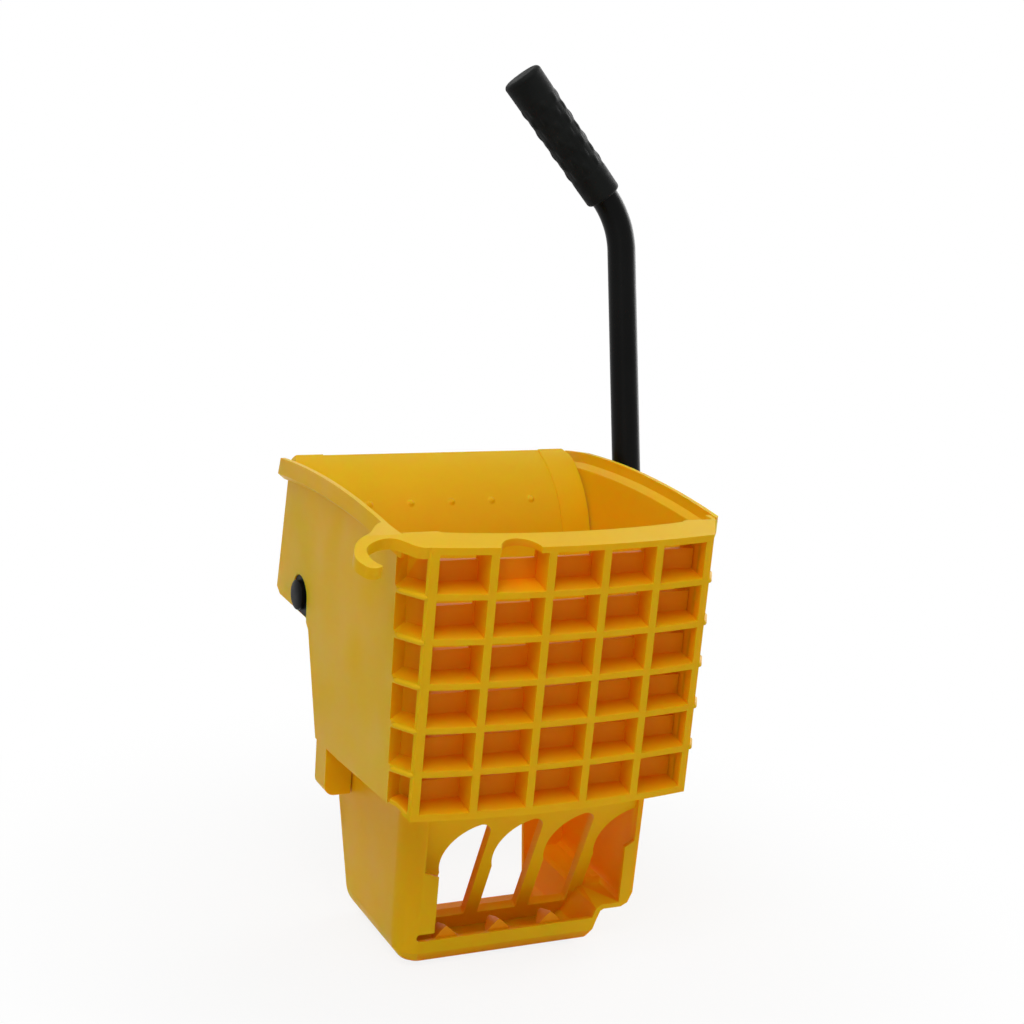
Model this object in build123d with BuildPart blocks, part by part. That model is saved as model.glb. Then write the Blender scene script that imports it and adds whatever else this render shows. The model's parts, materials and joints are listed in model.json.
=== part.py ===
"""Side-press mop wringer: hopper, drain box, press plate and the lever that drives it.

Millimetres, +Z up, front of the wringer towards -Y. The origin is the middle of the
drain box's flat bottom.
"""
import os
from math import asin, atan2, cos, degrees, hypot, radians, sin, sqrt, tan

from build123d import *

# Front wall: a grid of sloping cells
COLUMNS = 5
ROWS = 6
COLUMN_PITCH = 47.0
ROW_PITCH = 35.2
V_RIB = 6.5
H_RIB = 4.8
CELL_DEPTH = 18.0
CELL_DRAFT = 1.0
SKIN = 3.5
CELL_SLOPE = tan(radians(12.4))
DRIP_SLOT = 4.5
FRONT_Y = -80.0
BOW = 7.0
GRID_Z = 147.7
RIB_X = COLUMNS * COLUMN_PITCH / 2 + V_RIB / 2
CELL_W = COLUMN_PITCH - V_RIB
CELL_H = ROW_PITCH - H_RIB
WAFFLE_T = CELL_DEPTH + SKIN
CORNER_RIB = 3.0
CORNER_OPEN = 2.0
CORNER_DEPTH = 15.0
CORNER_RUN = 1.6
CELL_LEAD = 6.0

# Side walls
WALL = 4.0
SIDE_X = 136.5
SIDE_Z = 345.0
SIDE_DRAFT = tan(radians(1.39))
INNER_CHAMFER = 29.5
REAR_EDGE = ((98.0, 144.5), (125.0, 230.5), (130.5, 235.0))
LUG_Z = 239.0
LUG_REAR = (205.0, 244.0)
WALL_REAR_TOP = (187.0, 344.0)
WALL_FRONT_Z = 154.0
SHELL_Z0 = 135.0
SHELL_Z1 = 375.0

# Rims and hook
RIM_X = 142.0
RIM_FRONT_Z = 362.6
RIM_LIP = 4.0
RIM_DROP = 14.0
LEDGE_TOP = 9.0
LEDGE_FOOT = 13.5
RIM_ROOT = 19.0
ARCH_FRONT = (FRONT_Y + WAFFLE_T, RIM_FRONT_Z + WAFFLE_T * CELL_SLOPE)
ARCH_MID = (40.0, 371.8)
ARCH_REAR = (199.0, 360.2)
RIM_END_TOP = (193.0, 361.2)
RIM_END_LOW = (197.5, 346.0)
HOOK_T = 9.5
NOTCH_X = -50.0
NOTCH_Y = -89.0
NOTCH_R = 17.0

# Shelf, skirts and drain box
SHELF_Z = 154.0
SHELF_T = 4.0
SHELF_REAR = 76.0
THROAT_X = 100.0
THROAT_FRONT = -36.0
SKIRT_Y = 72.0
SKIRT_Z = 103.0
SKIRT_R = 9.0
SKIRT_GAP = 1.0
BOX_TOP_X = 106.5
BOX_BASE_X = 104.8
BOX_FRONT = -44.4
BOX_WALL = 4.0
BOX_TOE = 12.0
BOX_FLOOR_REAR = 46.7
BOX_REAR = ((118.0, 154.0), (100.0, 89.4), (66.0, 5.0), (57.0, 0.0))
WINDOW_LOW_X = 58.0
WINDOW_TOP_X = 68.0
WINDOW_TOP_Z = 100.0
BOX_FLANGE_X = 119.0
BOX_FLANGE_FRONT = -56.0
BOX_FLANGE_NOSE = 72.0
BOX_FLANGE_SIDE = (104.0, -48.0)
BOX_FLANGE_CORNER = -33.0
BOX_FLANGE_REAR = 68.0
SILL_Z = 22.0
OPENING_TOP = 134.0
LEFT_STEP = 82.0
RIGHT_STEP = 88.0
OPENING_LEFT = -75.0
OPENING_RIGHT = 93.0
LEFT_FLARE = 12.5
RIGHT_FLARE = 8.5
STEP_FALL = 5.0
SCALLOP_R = 3.2
SCALLOP_L = 24.0
TRAY_END = ((58.0, 0.0), (66.0, 4.5), (70.0, 11.0), (73.0, 20.0), (76.0, 27.4), (79.0, 29.0), (95.0, 29.0),
            (101.0, 32.0), (104.9, 41.0))
TRAY_HOLLOW = ((56.0, 4.0), (63.5, 8.0), (66.5, 13.5), (69.0, 21.5), (72.0, 30.0), (77.0, 33.0), (94.0, 33.0),
               (98.0, 35.5), (100.9, 42.0))
GUSSET_W = 18.0
GUSSET_SHIFT = -9.0
GUSSET_REAR = -14.0
GUSSET_Z = 19.0
GRATE_TOP = (-38.0, 115.0)
GRATE_FOOT = (-1.0, 18.0)
GRATE_T = 8.0
STRUT_W = 9.4
STRUT_SIDE = 2.0
ARCH_TOP_Z = 115.5
ARCH_R = 10.0
ARCH_RISE = 50.0
ARCH_SAG = 0.25

# Axle, lever and grip
AXLE_Y = 148.0
AXLE_Z = 254.0
TUBE_R = 12.7
TUBE_WALL = 2.0
AXLE_LEFT = -136.8
CAP_X = -139.7
LEVER_X = 182.0
LEVER_LEAN = 14.65
LEVER_START = 24.0
LEVER_CORNER = 321.0
LEVER_BEND = 38.0
BEND_R = 78.0
LEVER_TIP = 151.0
GRIP_START = 27.0
GRIP_END = 159.0
GRIP_R = 18.4
GRIP_LOW_R = 16.6
GRIP_DENT = 0.5
FIT = 0.05
HUB_IN = 138.0
HUB_R = 19.0
SLEEVE_R = 17.0
SLEEVE_L = 88.0
BOLT_R = 4.0
HEX_R = 7.5
HEAD_T = 5.3
NUT_T = 6.5
SEAT_R = 9.0
SEAT_H = 2.0
BOLT_GAP = 0.2
LEVER_BOLT = 52.0
HUB_BOLT_X = 155.0
AXLE_RIGHT = 196.0
HUB_OUT = 200.0
CAP_PLUG = 14.0
GRIP_COLLAR = 24.0
GRIP_CHAMFER = 3.0

# Axle bearings
AXLE_NOTCH_R = 17.0
BUSH_GAP = 0.2
BUSH_FLAT = 15.0
BUSH_IN = 119.0
BUSH_OUT = 133.5
BUSH_FLANGE_R = 22.0
BUSH_FLANGE_T = 4.0
LAND_X = 129.5
LAND_FRONT = 26.0
LAND_REAR = 44.0
COLLAR_R = 17.0
COLLAR_W = 10.0
COLLAR_FLOAT = 0.5
KEEPER_T = 4.0
KEEPER_TIP = 10.0
KEEPER_IN = 23.0
KEEPER_OUT = 42.0
KEEPER_NECK = 27.0
KEEPER_DEPTH = 9.0
SCREW_R = 2.4
SCREW_HEAD_R = 4.6
SCREW_HEAD_T = 3.0
SCREW_GAP = 0.1

# Press plate and its hinge
PLATE_T = 4.0
PLATE_GAP = 1.8
PLATE_CORNER = 8.0
PLATE_LEAN = 22.0
ROLL_Y = 225.7
ROLL_Z = 269.9
ROLL_R = 96.0
ROLL_END = -17.4
LIP_T = 3.5
LIP_DROP = 9.0
HINGE_Z = 174.0
HINGE_SET = 12.0
KNUCKLE_R = 12.0
KNUCKLE_IN = 92.0
KNUCKLE_OUT = 116.0
HINGE_R = 4.5
HINGE_HEAD_R = 7.0
HINGE_HEAD_T = 3.0
HINGE_BOSS_R = 10.5
HINGE_BOSS_X = 117.0
HINGE_TIP_X = 127.0
BOSS_GAP = 1.5
BAND_W = 28.0
BAND_T = 0.8
NUB_PITCH = 38.0
NUB_COLUMNS = 5
NUB_ROWS = 3
NUB_ANGLE = -51.5
NUB_R = 3.6
NUB_H = 1.5

# Crank drive
CRANK_R = 92.0
CRANK_BACK = 31.5
LEVER_SWEEP = 92.0
RIB_MID_X = 62.0
RIB_T = 6.0
ROLLER_R = 9.0
ROLLER_W = 5.2
SLOT_GAP = 0.4
SLOT_LAND = 6.0
AXLE_GAP = 2.4
CRANK_IN = 67.0
CRANK_T = 6.0
CRANK_HUB_L = 18.0
CRANK_HUB_R = 18.0
CRANK_EYE_R = 12.0
PIN_R = 4.0
PIN_HEAD_R = 6.5
PIN_HEAD_T = 2.5
CLIP_T = 1.2
CLIP_R = 6.5
GROOVE_R = 3.2
DOWEL_R = 3.0


def half_width(z):
    return SIDE_X - (SIDE_Z - z) * SIDE_DRAFT


def front_y(x):
    return FRONT_Y - BOW * (1 - (x / RIB_X) ** 2)


def along(start, angle, length):
    """Point in the side view, the angle measured back from straight up."""
    return (start[0] + length * sin(radians(angle)), start[1] + length * cos(radians(angle)))


def turned(point, centre, angle):
    """Point in the side view, swung backwards about a centre."""
    reach = hypot(point[0] - centre[0], point[1] - centre[1])
    start = degrees(atan2(point[0] - centre[0], point[1] - centre[1]))
    return along(centre, start + angle, reach)


AXLE = (AXLE_Y, AXLE_Z)
ROLL = (ROLL_Y, ROLL_Z)
PLATE_TOP = along(ROLL, PLATE_LEAN - 90, ROLL_R)
HINGE = (PLATE_TOP[0] - (PLATE_TOP[1] - HINGE_Z) * tan(radians(PLATE_LEAN))
         + HINGE_SET / cos(radians(PLATE_LEAN)), HINGE_Z)

# The slot is the path of the crank pin as seen from the plate
PIN_REST = along(AXLE, CRANK_BACK, CRANK_R)
PIN_MID = along(AXLE, CRANK_BACK - LEVER_SWEEP / 2, CRANK_R)
PIN_END = along(AXLE, CRANK_BACK - LEVER_SWEEP, CRANK_R)
PLATE_SWING = (degrees(atan2(PIN_REST[0] - HINGE[0], PIN_REST[1] - HINGE[1]))
               - degrees(atan2(PIN_END[0] - HINGE[0], PIN_END[1] - HINGE[1])))
SLOT_MID = turned(PIN_MID, HINGE, PLATE_SWING / 2)
SLOT_END = turned(PIN_END, HINGE, PLATE_SWING)

# Lever directions: up the lever, along the grip, and across both
UP = Vector(0, sin(radians(LEVER_LEAN)), cos(radians(LEVER_LEAN)))
BACK = Vector(0, cos(radians(LEVER_LEAN)), -sin(radians(LEVER_LEAN)))
GRIP_DIR = UP * cos(radians(LEVER_BEND)) - Vector(sin(radians(LEVER_BEND)), 0, 0)
LEVER_FOOT = Vector(LEVER_X, AXLE_Y, AXLE_Z)
CORNER = LEVER_FOOT + UP * LEVER_CORNER

BOX_SCREWS = ((113.0, -12.0), (113.0, 40.0), (52.0, -50.5))
SHELF_BOSS_R = 6.0
SHELF_BOSS_H = 8.0
BOX_SCREW_L = 10.6
BOX_SEAT_T = 1.6
BOX_HEAD_R = 4.2
BOX_HEAD_T = 2.2
BOX_HEAD_GAP = 0.3
KEEPER_SCREW = (AXLE_Y + 32.5, AXLE_Z - 1)
KEEPER_SCREW_L = 6.5

os.makedirs("parts", exist_ok=True)

# One cell of the front wall, with the drip slot at the top of its back
with BuildPart() as cell:
    for depth in (-CELL_LEAD, CELL_DEPTH):
        shrink = 2 * CELL_DRAFT * depth / CELL_DEPTH
        with BuildSketch(Plane((0, depth, depth * CELL_SLOPE), (1, 0, 0), (0, -1, 0))):
            Rectangle(CELL_W - shrink, CELL_H - shrink)
    loft(ruled=True)
    slot_z = CELL_DEPTH * CELL_SLOPE + CELL_H / 2 - CELL_DRAFT - DRIP_SLOT / 2
    with BuildSketch(Plane((0, CELL_DEPTH + 2 * SKIN, slot_z), (1, 0, 0), (0, -1, 0))):
        Rectangle(CELL_W - 4 * CELL_DRAFT, DRIP_SLOT)
    extrude(amount=2 * SKIN + 1)

# The narrow cells in the right-hand front corner
with BuildPart() as corner_cells:
    for row in range(ROWS):
        row_z = GRID_Z + (row + 0.5) * ROW_PITCH
        reach = half_width(row_z) - RIB_X
        slant = sqrt(1 + CORNER_RUN ** 2)
        opening = reach * slant - CORNER_RIB + CORNER_OPEN
        out = (CORNER_RIB + opening / 2) / slant
        middle = Vector(RIB_X + out, FRONT_Y + CORNER_RUN * out, row_z)
        for depth in (-CELL_LEAD, CORNER_DEPTH):
            shrink = 2 * CELL_DRAFT * depth / CORNER_DEPTH
            into = Vector(-CORNER_RUN, 1, 0) * (depth / slant) + Vector(0, 0, depth * CELL_SLOPE)
            with BuildSketch(Plane(middle + into, (1, CORNER_RUN, 0), (CORNER_RUN, -1, 0))):
                Rectangle(opening - shrink, CELL_H - shrink)
        loft(ruled=True)

# The right-hand rim: a thin lip above a sloping ledge, arched along its length
with BuildPart() as rim:
    with BuildLine(Plane.YZ) as arch:
        ThreePointArc(ARCH_FRONT, ARCH_MID, ARCH_REAR)
    with BuildSketch(Plane(arch.line @ 0, (1, 0, 0), (arch.line % 0) * -1)):
        with BuildLine():
            Polyline((RIM_X - RIM_LIP, 0), (RIM_X, 0), (RIM_X, -RIM_DROP), (SIDE_X - 0.5, -RIM_ROOT),
                     (SIDE_X - WALL + 0.5, -RIM_ROOT), (SIDE_X - WALL + 0.5, -LEDGE_FOOT),
                     (RIM_X - RIM_LIP, -LEDGE_TOP), close=True)
        make_face()
    sweep(path=arch.line)
    rim_reach = RIM_X + 5 - RIB_X
    with BuildSketch(Plane.XY.offset(ARCH_FRONT[1] - 2 * RIM_DROP)):
        with BuildLine():
            corner_y = FRONT_Y + CORNER_RUN * (SIDE_X - RIB_X)
            Polyline((RIB_X, FRONT_Y), (SIDE_X, corner_y),
                     (RIB_X + rim_reach, corner_y + rim_reach - SIDE_X + RIB_X),
                     (RIB_X + rim_reach, FRONT_Y - 20), close=True)
        make_face()
    extrude(amount=4 * RIM_DROP, mode=Mode.SUBTRACT)
    with BuildSketch(Plane.YZ.offset(SIDE_X - 10)):
        with BuildLine():
            Polyline(along(RIM_END_TOP, -20, 20), RIM_END_TOP, RIM_END_LOW, along(RIM_END_LOW, 160, 20),
                     (ARCH_REAR[0] + 40, RIM_END_LOW[1] - 20), (ARCH_REAR[0] + 40, RIM_END_TOP[1] + 20),
                     close=True)
        make_face()
    extrude(amount=30, mode=Mode.SUBTRACT)

with BuildPart() as hopper_body:
    for z in (SHELL_Z0, SHELL_Z1):
        half = half_width(z)
        with BuildSketch(Plane.XY.offset(z)):
            with BuildLine():
                ThreePointArc((-RIB_X, FRONT_Y), (0, FRONT_Y - BOW), (RIB_X, FRONT_Y))
                turn_y = FRONT_Y + CORNER_RUN * (half - RIB_X)
                Polyline((RIB_X, FRONT_Y), (half, turn_y), (half, 240), (-half, 240), (-half, turn_y),
                         (-RIB_X, FRONT_Y))
            make_face()
    loft(ruled=True)
    for z in (SHELL_Z0, SHELL_Z1):
        half = half_width(z) - WALL
        turn = half - INNER_CHAMFER
        inner_y = FRONT_Y + WAFFLE_T
        with BuildSketch(Plane.XY.offset(z)):
            with BuildLine():
                ThreePointArc((-turn, inner_y), (0, inner_y - BOW), (turn, inner_y))
                Polyline((turn, inner_y), (half, inner_y + INNER_CHAMFER), (half, 250), (-half, 250),
                         (-half, inner_y + INNER_CHAMFER), (-turn, inner_y))
            make_face()
    loft(ruled=True, mode=Mode.SUBTRACT)

    # Side view of the shell, with the axle notches open below
    low_front = FRONT_Y - 2 * BOW
    with BuildSketch(Plane.YZ):
        with BuildLine():
            Polyline((low_front, GRID_Z - H_RIB / 2 + (low_front - FRONT_Y) * CELL_SLOPE),
                     (ARCH_FRONT[0], GRID_Z - H_RIB / 2 + WAFFLE_T * CELL_SLOPE),
                     REAR_EDGE[0], REAR_EDGE[1], REAR_EDGE[2],
                     (AXLE_Y - AXLE_NOTCH_R, LUG_Z), (AXLE_Y - AXLE_NOTCH_R, AXLE_Z))
            ThreePointArc((AXLE_Y - AXLE_NOTCH_R, AXLE_Z), (AXLE_Y, AXLE_Z + AXLE_NOTCH_R),
                          (AXLE_Y + AXLE_NOTCH_R, AXLE_Z))
            Polyline((AXLE_Y + AXLE_NOTCH_R, AXLE_Z), (AXLE_Y + AXLE_NOTCH_R, LUG_Z),
                     (LUG_REAR[0] - 8, LUG_Z), LUG_REAR, WALL_REAR_TOP,
                     (ARCH_REAR[0] - 4, ARCH_REAR[1] - RIM_DROP))
            ThreePointArc((ARCH_REAR[0] - 4, ARCH_REAR[1] - RIM_DROP), (ARCH_MID[0], ARCH_MID[1] - RIM_DROP),
                          (ARCH_FRONT[0] + 3, ARCH_FRONT[1] - RIM_DROP))
            Polyline((ARCH_FRONT[0] + 3, ARCH_FRONT[1] - RIM_DROP), (ARCH_FRONT[0] + 3, ARCH_FRONT[1] + 0.2),
                     ARCH_FRONT,
                     (low_front, RIM_FRONT_Z + (low_front - FRONT_Y) * CELL_SLOPE),
                     (low_front, GRID_Z - H_RIB / 2 + (low_front - FRONT_Y) * CELL_SLOPE))
        make_face()
    extrude(amount=200, both=True, mode=Mode.INTERSECT)

    # The side walls' lower edges rise towards the front
    with BuildSketch(Plane.YZ.offset(RIB_X)):
        with BuildLine():
            Polyline((FRONT_Y, GRID_Z - H_RIB), (FRONT_Y, GRID_Z - H_RIB / 2), (FRONT_Y + 14, WALL_FRONT_Z),
                     (SKIRT_Y, REAR_EDGE[0][1]), (SKIRT_Y, GRID_Z - 2 * H_RIB), close=True)
        make_face()
    extrude(amount=40, mode=Mode.SUBTRACT)
    with BuildSketch(Plane.YZ.offset(-RIB_X)):
        with BuildLine():
            Polyline((FRONT_Y, GRID_Z - H_RIB), (FRONT_Y, GRID_Z - H_RIB / 2), (FRONT_Y + 14, WALL_FRONT_Z),
                     (SKIRT_Y, REAR_EDGE[0][1]), (SKIRT_Y, GRID_Z - 2 * H_RIB), close=True)
        make_face()
    extrude(amount=-40, mode=Mode.SUBTRACT)

    for column in range(COLUMNS):
        column_x = (column - (COLUMNS - 1) / 2) * COLUMN_PITCH
        rows = [(column_x, front_y(column_x), GRID_Z + (row + 0.5) * ROW_PITCH) for row in range(ROWS)]
        with Locations(*rows):
            add(cell.part, mode=Mode.SUBTRACT)
    add(corner_cells.part, mode=Mode.SUBTRACT)
    add(mirror(corner_cells.part, about=Plane.YZ, mode=Mode.PRIVATE), mode=Mode.SUBTRACT)
    with BuildSketch(Plane.XY.offset(SHELL_Z1)):
        with Locations((NOTCH_X, NOTCH_Y)):
            Circle(NOTCH_R)
    extrude(amount=-(SHELL_Z1 - RIM_FRONT_Z + 12), mode=Mode.SUBTRACT)

    # Shelf round the throat
    shelf_half = half_width(SHELF_Z) - 1
    with BuildSketch(Plane.XY.offset(SHELF_Z)):
        with BuildLine():
            Polyline((-shelf_half, SHELF_REAR), (-shelf_half, -40), (-THROAT_X, ARCH_FRONT[0] - 3),
                     (THROAT_X, ARCH_FRONT[0] - 3), (shelf_half, -40), (shelf_half, SHELF_REAR),
                     (THROAT_X, SHELF_REAR), (THROAT_X, THROAT_FRONT), (-THROAT_X, THROAT_FRONT),
                     (-THROAT_X, SHELF_REAR), close=True)
        make_face()
    extrude(amount=SHELF_T)
    for side in (1, -1):
        for screw_x, screw_y in BOX_SCREWS:
            with BuildSketch(Plane((side * screw_x, screw_y, SHELF_Z))):
                Circle(SHELF_BOSS_R)
            extrude(amount=SHELF_T + SHELF_BOSS_H)

    # Rims, hook and skirts
    add(rim.part)
    add(mirror(rim.part, about=Plane.YZ, mode=Mode.PRIVATE))
    hook_plane = Plane((-RIM_X, FRONT_Y, RIM_FRONT_Z), (1, 0, 0), (0, -CELL_SLOPE, 1))
    with BuildSketch(hook_plane):
        with BuildLine():
            Spline((3, 50), (-7, 42), (-16.5, 28.5), (-31, 15.5), (-39, 2), (-42, -9), (-39.5, -19))
            ThreePointArc((-39.5, -19), (-33, -25), (-26, -22))
            corner_x = RIM_X - RIB_X
            Spline((-26, -22), (-30.5, -13), (-31, -5), (-29, 3), (-21, 11.5), (-10, 16.5), (-2.5, 16),
                   (4.5, 10), (11, 3), (corner_x, 0.5))
            Polyline((corner_x, 0.5), (corner_x + V_RIB, WAFFLE_T / 2), (corner_x + V_RIB, WAFFLE_T),
                     (RIM_LIP + 2, WAFFLE_T + 1), (3, 50))
        make_face()
    extrude(amount=-HOOK_T)
    with BuildSketch(Plane.YZ.offset(-RIM_X - 50)):
        with BuildLine():
            ThreePointArc((ARCH_FRONT[0], ARCH_FRONT[1] - 0.05), (ARCH_MID[0], ARCH_MID[1] - 0.05),
                          (ARCH_REAR[0], ARCH_REAR[1] - 0.05))
            Polyline((ARCH_REAR[0], ARCH_REAR[1] - 0.05), (ARCH_REAR[0], 390), (ARCH_FRONT[0], 390),
                     (ARCH_FRONT[0], ARCH_FRONT[1] - 0.05))
        make_face()
    extrude(amount=50 + RIM_LIP + 3, mode=Mode.SUBTRACT)
    skirt_top = half_width(SHELF_Z) - 0.2
    skirt_low = half_width(SKIRT_Z)
    skirt_in = BOX_TOP_X + SKIRT_GAP
    for side in (1, -1):
        with BuildSketch(Plane((0, SKIRT_Y, 0), (side, 0, 0), (0, -side, 0))):
            with BuildLine():
                Polyline((skirt_in, SHELF_Z + 1), (skirt_in, SKIRT_Z), (skirt_low, SKIRT_Z),
                         (skirt_top, SHELF_Z + 1), close=True)
            make_face()
            fillet(vertices().group_by(Axis.Y)[0].sort_by(Axis.X)[-1], SKIRT_R)
        extrude(amount=-side * (REAR_EDGE[0][0] - SKIRT_Y - 3))

    # Lands for the axle bushes, bosses for the hinge pins, and all the screw holes
    for side in (1, -1):
        with BuildSketch(Plane.YZ.offset(side * LAND_X)):
            with BuildLine():
                Polyline((AXLE_Y - LAND_FRONT, LUG_Z + 1), (AXLE_Y - AXLE_NOTCH_R, LUG_Z + 1),
                         (AXLE_Y - AXLE_NOTCH_R, AXLE_Z))
                ThreePointArc((AXLE_Y - AXLE_NOTCH_R, AXLE_Z), (AXLE_Y, AXLE_Z + AXLE_NOTCH_R),
                              (AXLE_Y + AXLE_NOTCH_R, AXLE_Z))
                Polyline((AXLE_Y + AXLE_NOTCH_R, AXLE_Z), (AXLE_Y + AXLE_NOTCH_R, LUG_Z + 1),
                         (AXLE_Y + LAND_REAR, LUG_Z + 1), (AXLE_Y + LAND_REAR, AXLE_Z + 30),
                         (AXLE_Y - LAND_FRONT, AXLE_Z + 30), (AXLE_Y - LAND_FRONT, LUG_Z + 1))
            make_face()
        extrude(amount=side * 3)
        with BuildSketch(Plane((side * HINGE_BOSS_X, HINGE[0], HINGE[1]), (0, 1, 0), (side, 0, 0))):
            Circle(HINGE_BOSS_R)
        extrude(amount=half_width(HINGE_Z) - HINGE_BOSS_X - WALL / 2)
        with BuildSketch(Plane((side * HINGE_BOSS_X, HINGE[0], HINGE[1]), (0, 1, 0), (side, 0, 0))):
            Circle(HINGE_R + FIT)
        extrude(amount=HINGE_TIP_X + 0.4 - HINGE_BOSS_X, mode=Mode.SUBTRACT)
        with BuildSketch(Plane((side * LAND_X, KEEPER_SCREW[0], KEEPER_SCREW[1]), (0, 1, 0), (side, 0, 0))):
            Circle(2 + SCREW_GAP)
        extrude(amount=KEEPER_SCREW_L - KEEPER_T + 0.5, mode=Mode.SUBTRACT)
        for screw_x, screw_y in BOX_SCREWS:
            with BuildSketch(Plane((side * screw_x, screw_y, SHELF_Z))):
                Circle(SCREW_R + SCREW_GAP)
            extrude(amount=BOX_SCREW_L - BOX_SEAT_T + 0.5, mode=Mode.SUBTRACT)
hopper_body.part.label = "hopper_body"
export_step(hopper_body.part, "parts/hopper_body.step")

# The hollow of the drain box
with BuildPart() as box_hollow:
    rear_set = 1.1 * BOX_WALL
    with BuildSketch(Plane.XZ.offset(-BOX_FRONT - BOX_WALL)):
        with BuildLine():
            Polyline((-BOX_TOP_X + BOX_WALL, SHELF_Z + 1), (-BOX_BASE_X + BOX_WALL, BOX_WALL), *TRAY_HOLLOW,
                     (BOX_TOP_X - BOX_WALL, SHELF_Z + 1), close=True)
        make_face()
    extrude(amount=-180)
    with BuildSketch(Plane.YZ):
        with BuildLine():
            Polyline((BOX_FRONT + BOX_WALL, BOX_TOE), (BOX_FRONT + BOX_TOE, BOX_WALL),
                     (BOX_REAR[2][0] - rear_set, BOX_WALL), (BOX_REAR[1][0] - rear_set, BOX_REAR[1][1]),
                     (BOX_REAR[0][0] - rear_set, SHELF_Z + 1), (BOX_FRONT + BOX_WALL, SHELF_Z + 1),
                     close=True)
        make_face()
    extrude(amount=200, both=True, mode=Mode.INTERSECT)

# The outside of the drain box, closed
with BuildPart() as box_block:
    with BuildSketch(Plane.XZ.offset(-BOX_FRONT)):
        with BuildLine():
            Polyline((-BOX_TOP_X, SHELF_Z), (-BOX_BASE_X, 3), (-BOX_BASE_X + 3, 0), *TRAY_END,
                     (BOX_TOP_X, SHELF_Z), close=True)
        make_face()
    extrude(amount=-180)
    with BuildSketch(Plane.YZ):
        with BuildLine():
            Polyline((BOX_FRONT, BOX_TOE), (BOX_FRONT + 0.3 * BOX_TOE, 0.3 * BOX_TOE),
                     (BOX_FRONT + BOX_TOE, 0), BOX_REAR[3], BOX_REAR[2], BOX_REAR[1], BOX_REAR[0],
                     (BOX_FRONT, SHELF_Z), close=True)
        make_face()
    extrude(amount=200, both=True, mode=Mode.INTERSECT)

# Slanted grate, trimmed to the box
with BuildPart() as grate:
    rise = Vector(0, GRATE_TOP[0] - GRATE_FOOT[0], GRATE_TOP[1] - GRATE_FOOT[1]).normalized()
    grate_plane = Plane((0, GRATE_FOOT[0], GRATE_FOOT[1]), (1, 0, 0), (0, -rise.Z, rise.Y))
    arch_v = (ARCH_TOP_Z - GRATE_FOOT[1]) / rise.Z
    top_v = (OPENING_TOP + BOX_WALL / 2 - GRATE_FOOT[1]) / rise.Z
    low_v = (BOX_WALL / 2 - GRATE_FOOT[1]) / rise.Z
    grate_half = BOX_TOP_X - BOX_WALL + 0.5
    gap_w = COLUMN_PITCH - STRUT_W
    side_x = 1.5 * COLUMN_PITCH + STRUT_W / 2
    gaps = [((k - 0.5) * COLUMN_PITCH + STRUT_W / 2 + STRUT_SIDE, gap_w - STRUT_SIDE) for k in (-1, 0, 1)]
    gaps.append((side_x + STRUT_SIDE, grate_half + ARCH_R - side_x))
    with BuildSketch(grate_plane):
        with Locations((0, (top_v + low_v) / 2)):
            Rectangle(2 * grate_half, top_v - low_v)
        for gap_x, width in gaps:
            end_x = gap_x + width
            foot_v = (TRAY_HOLLOW[6][1] - GRATE_FOOT[1]) / rise.Z if gap_x > side_x else 0
            with BuildLine():
                Polyline((gap_x, arch_v - ARCH_RISE), (gap_x, foot_v), (end_x, foot_v),
                         (end_x, arch_v - ARCH_R))
                RadiusArc((end_x, arch_v - ARCH_R), (end_x - ARCH_R, arch_v), -ARCH_R)
                ThreePointArc((end_x - ARCH_R, arch_v),
                              (gap_x + ARCH_SAG * (width - ARCH_R), arch_v - ARCH_SAG * ARCH_RISE),
                              (gap_x, arch_v - ARCH_RISE))
            make_face(mode=Mode.SUBTRACT)
    extrude(amount=-GRATE_T)
    add(box_block.part, mode=Mode.INTERSECT)

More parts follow.
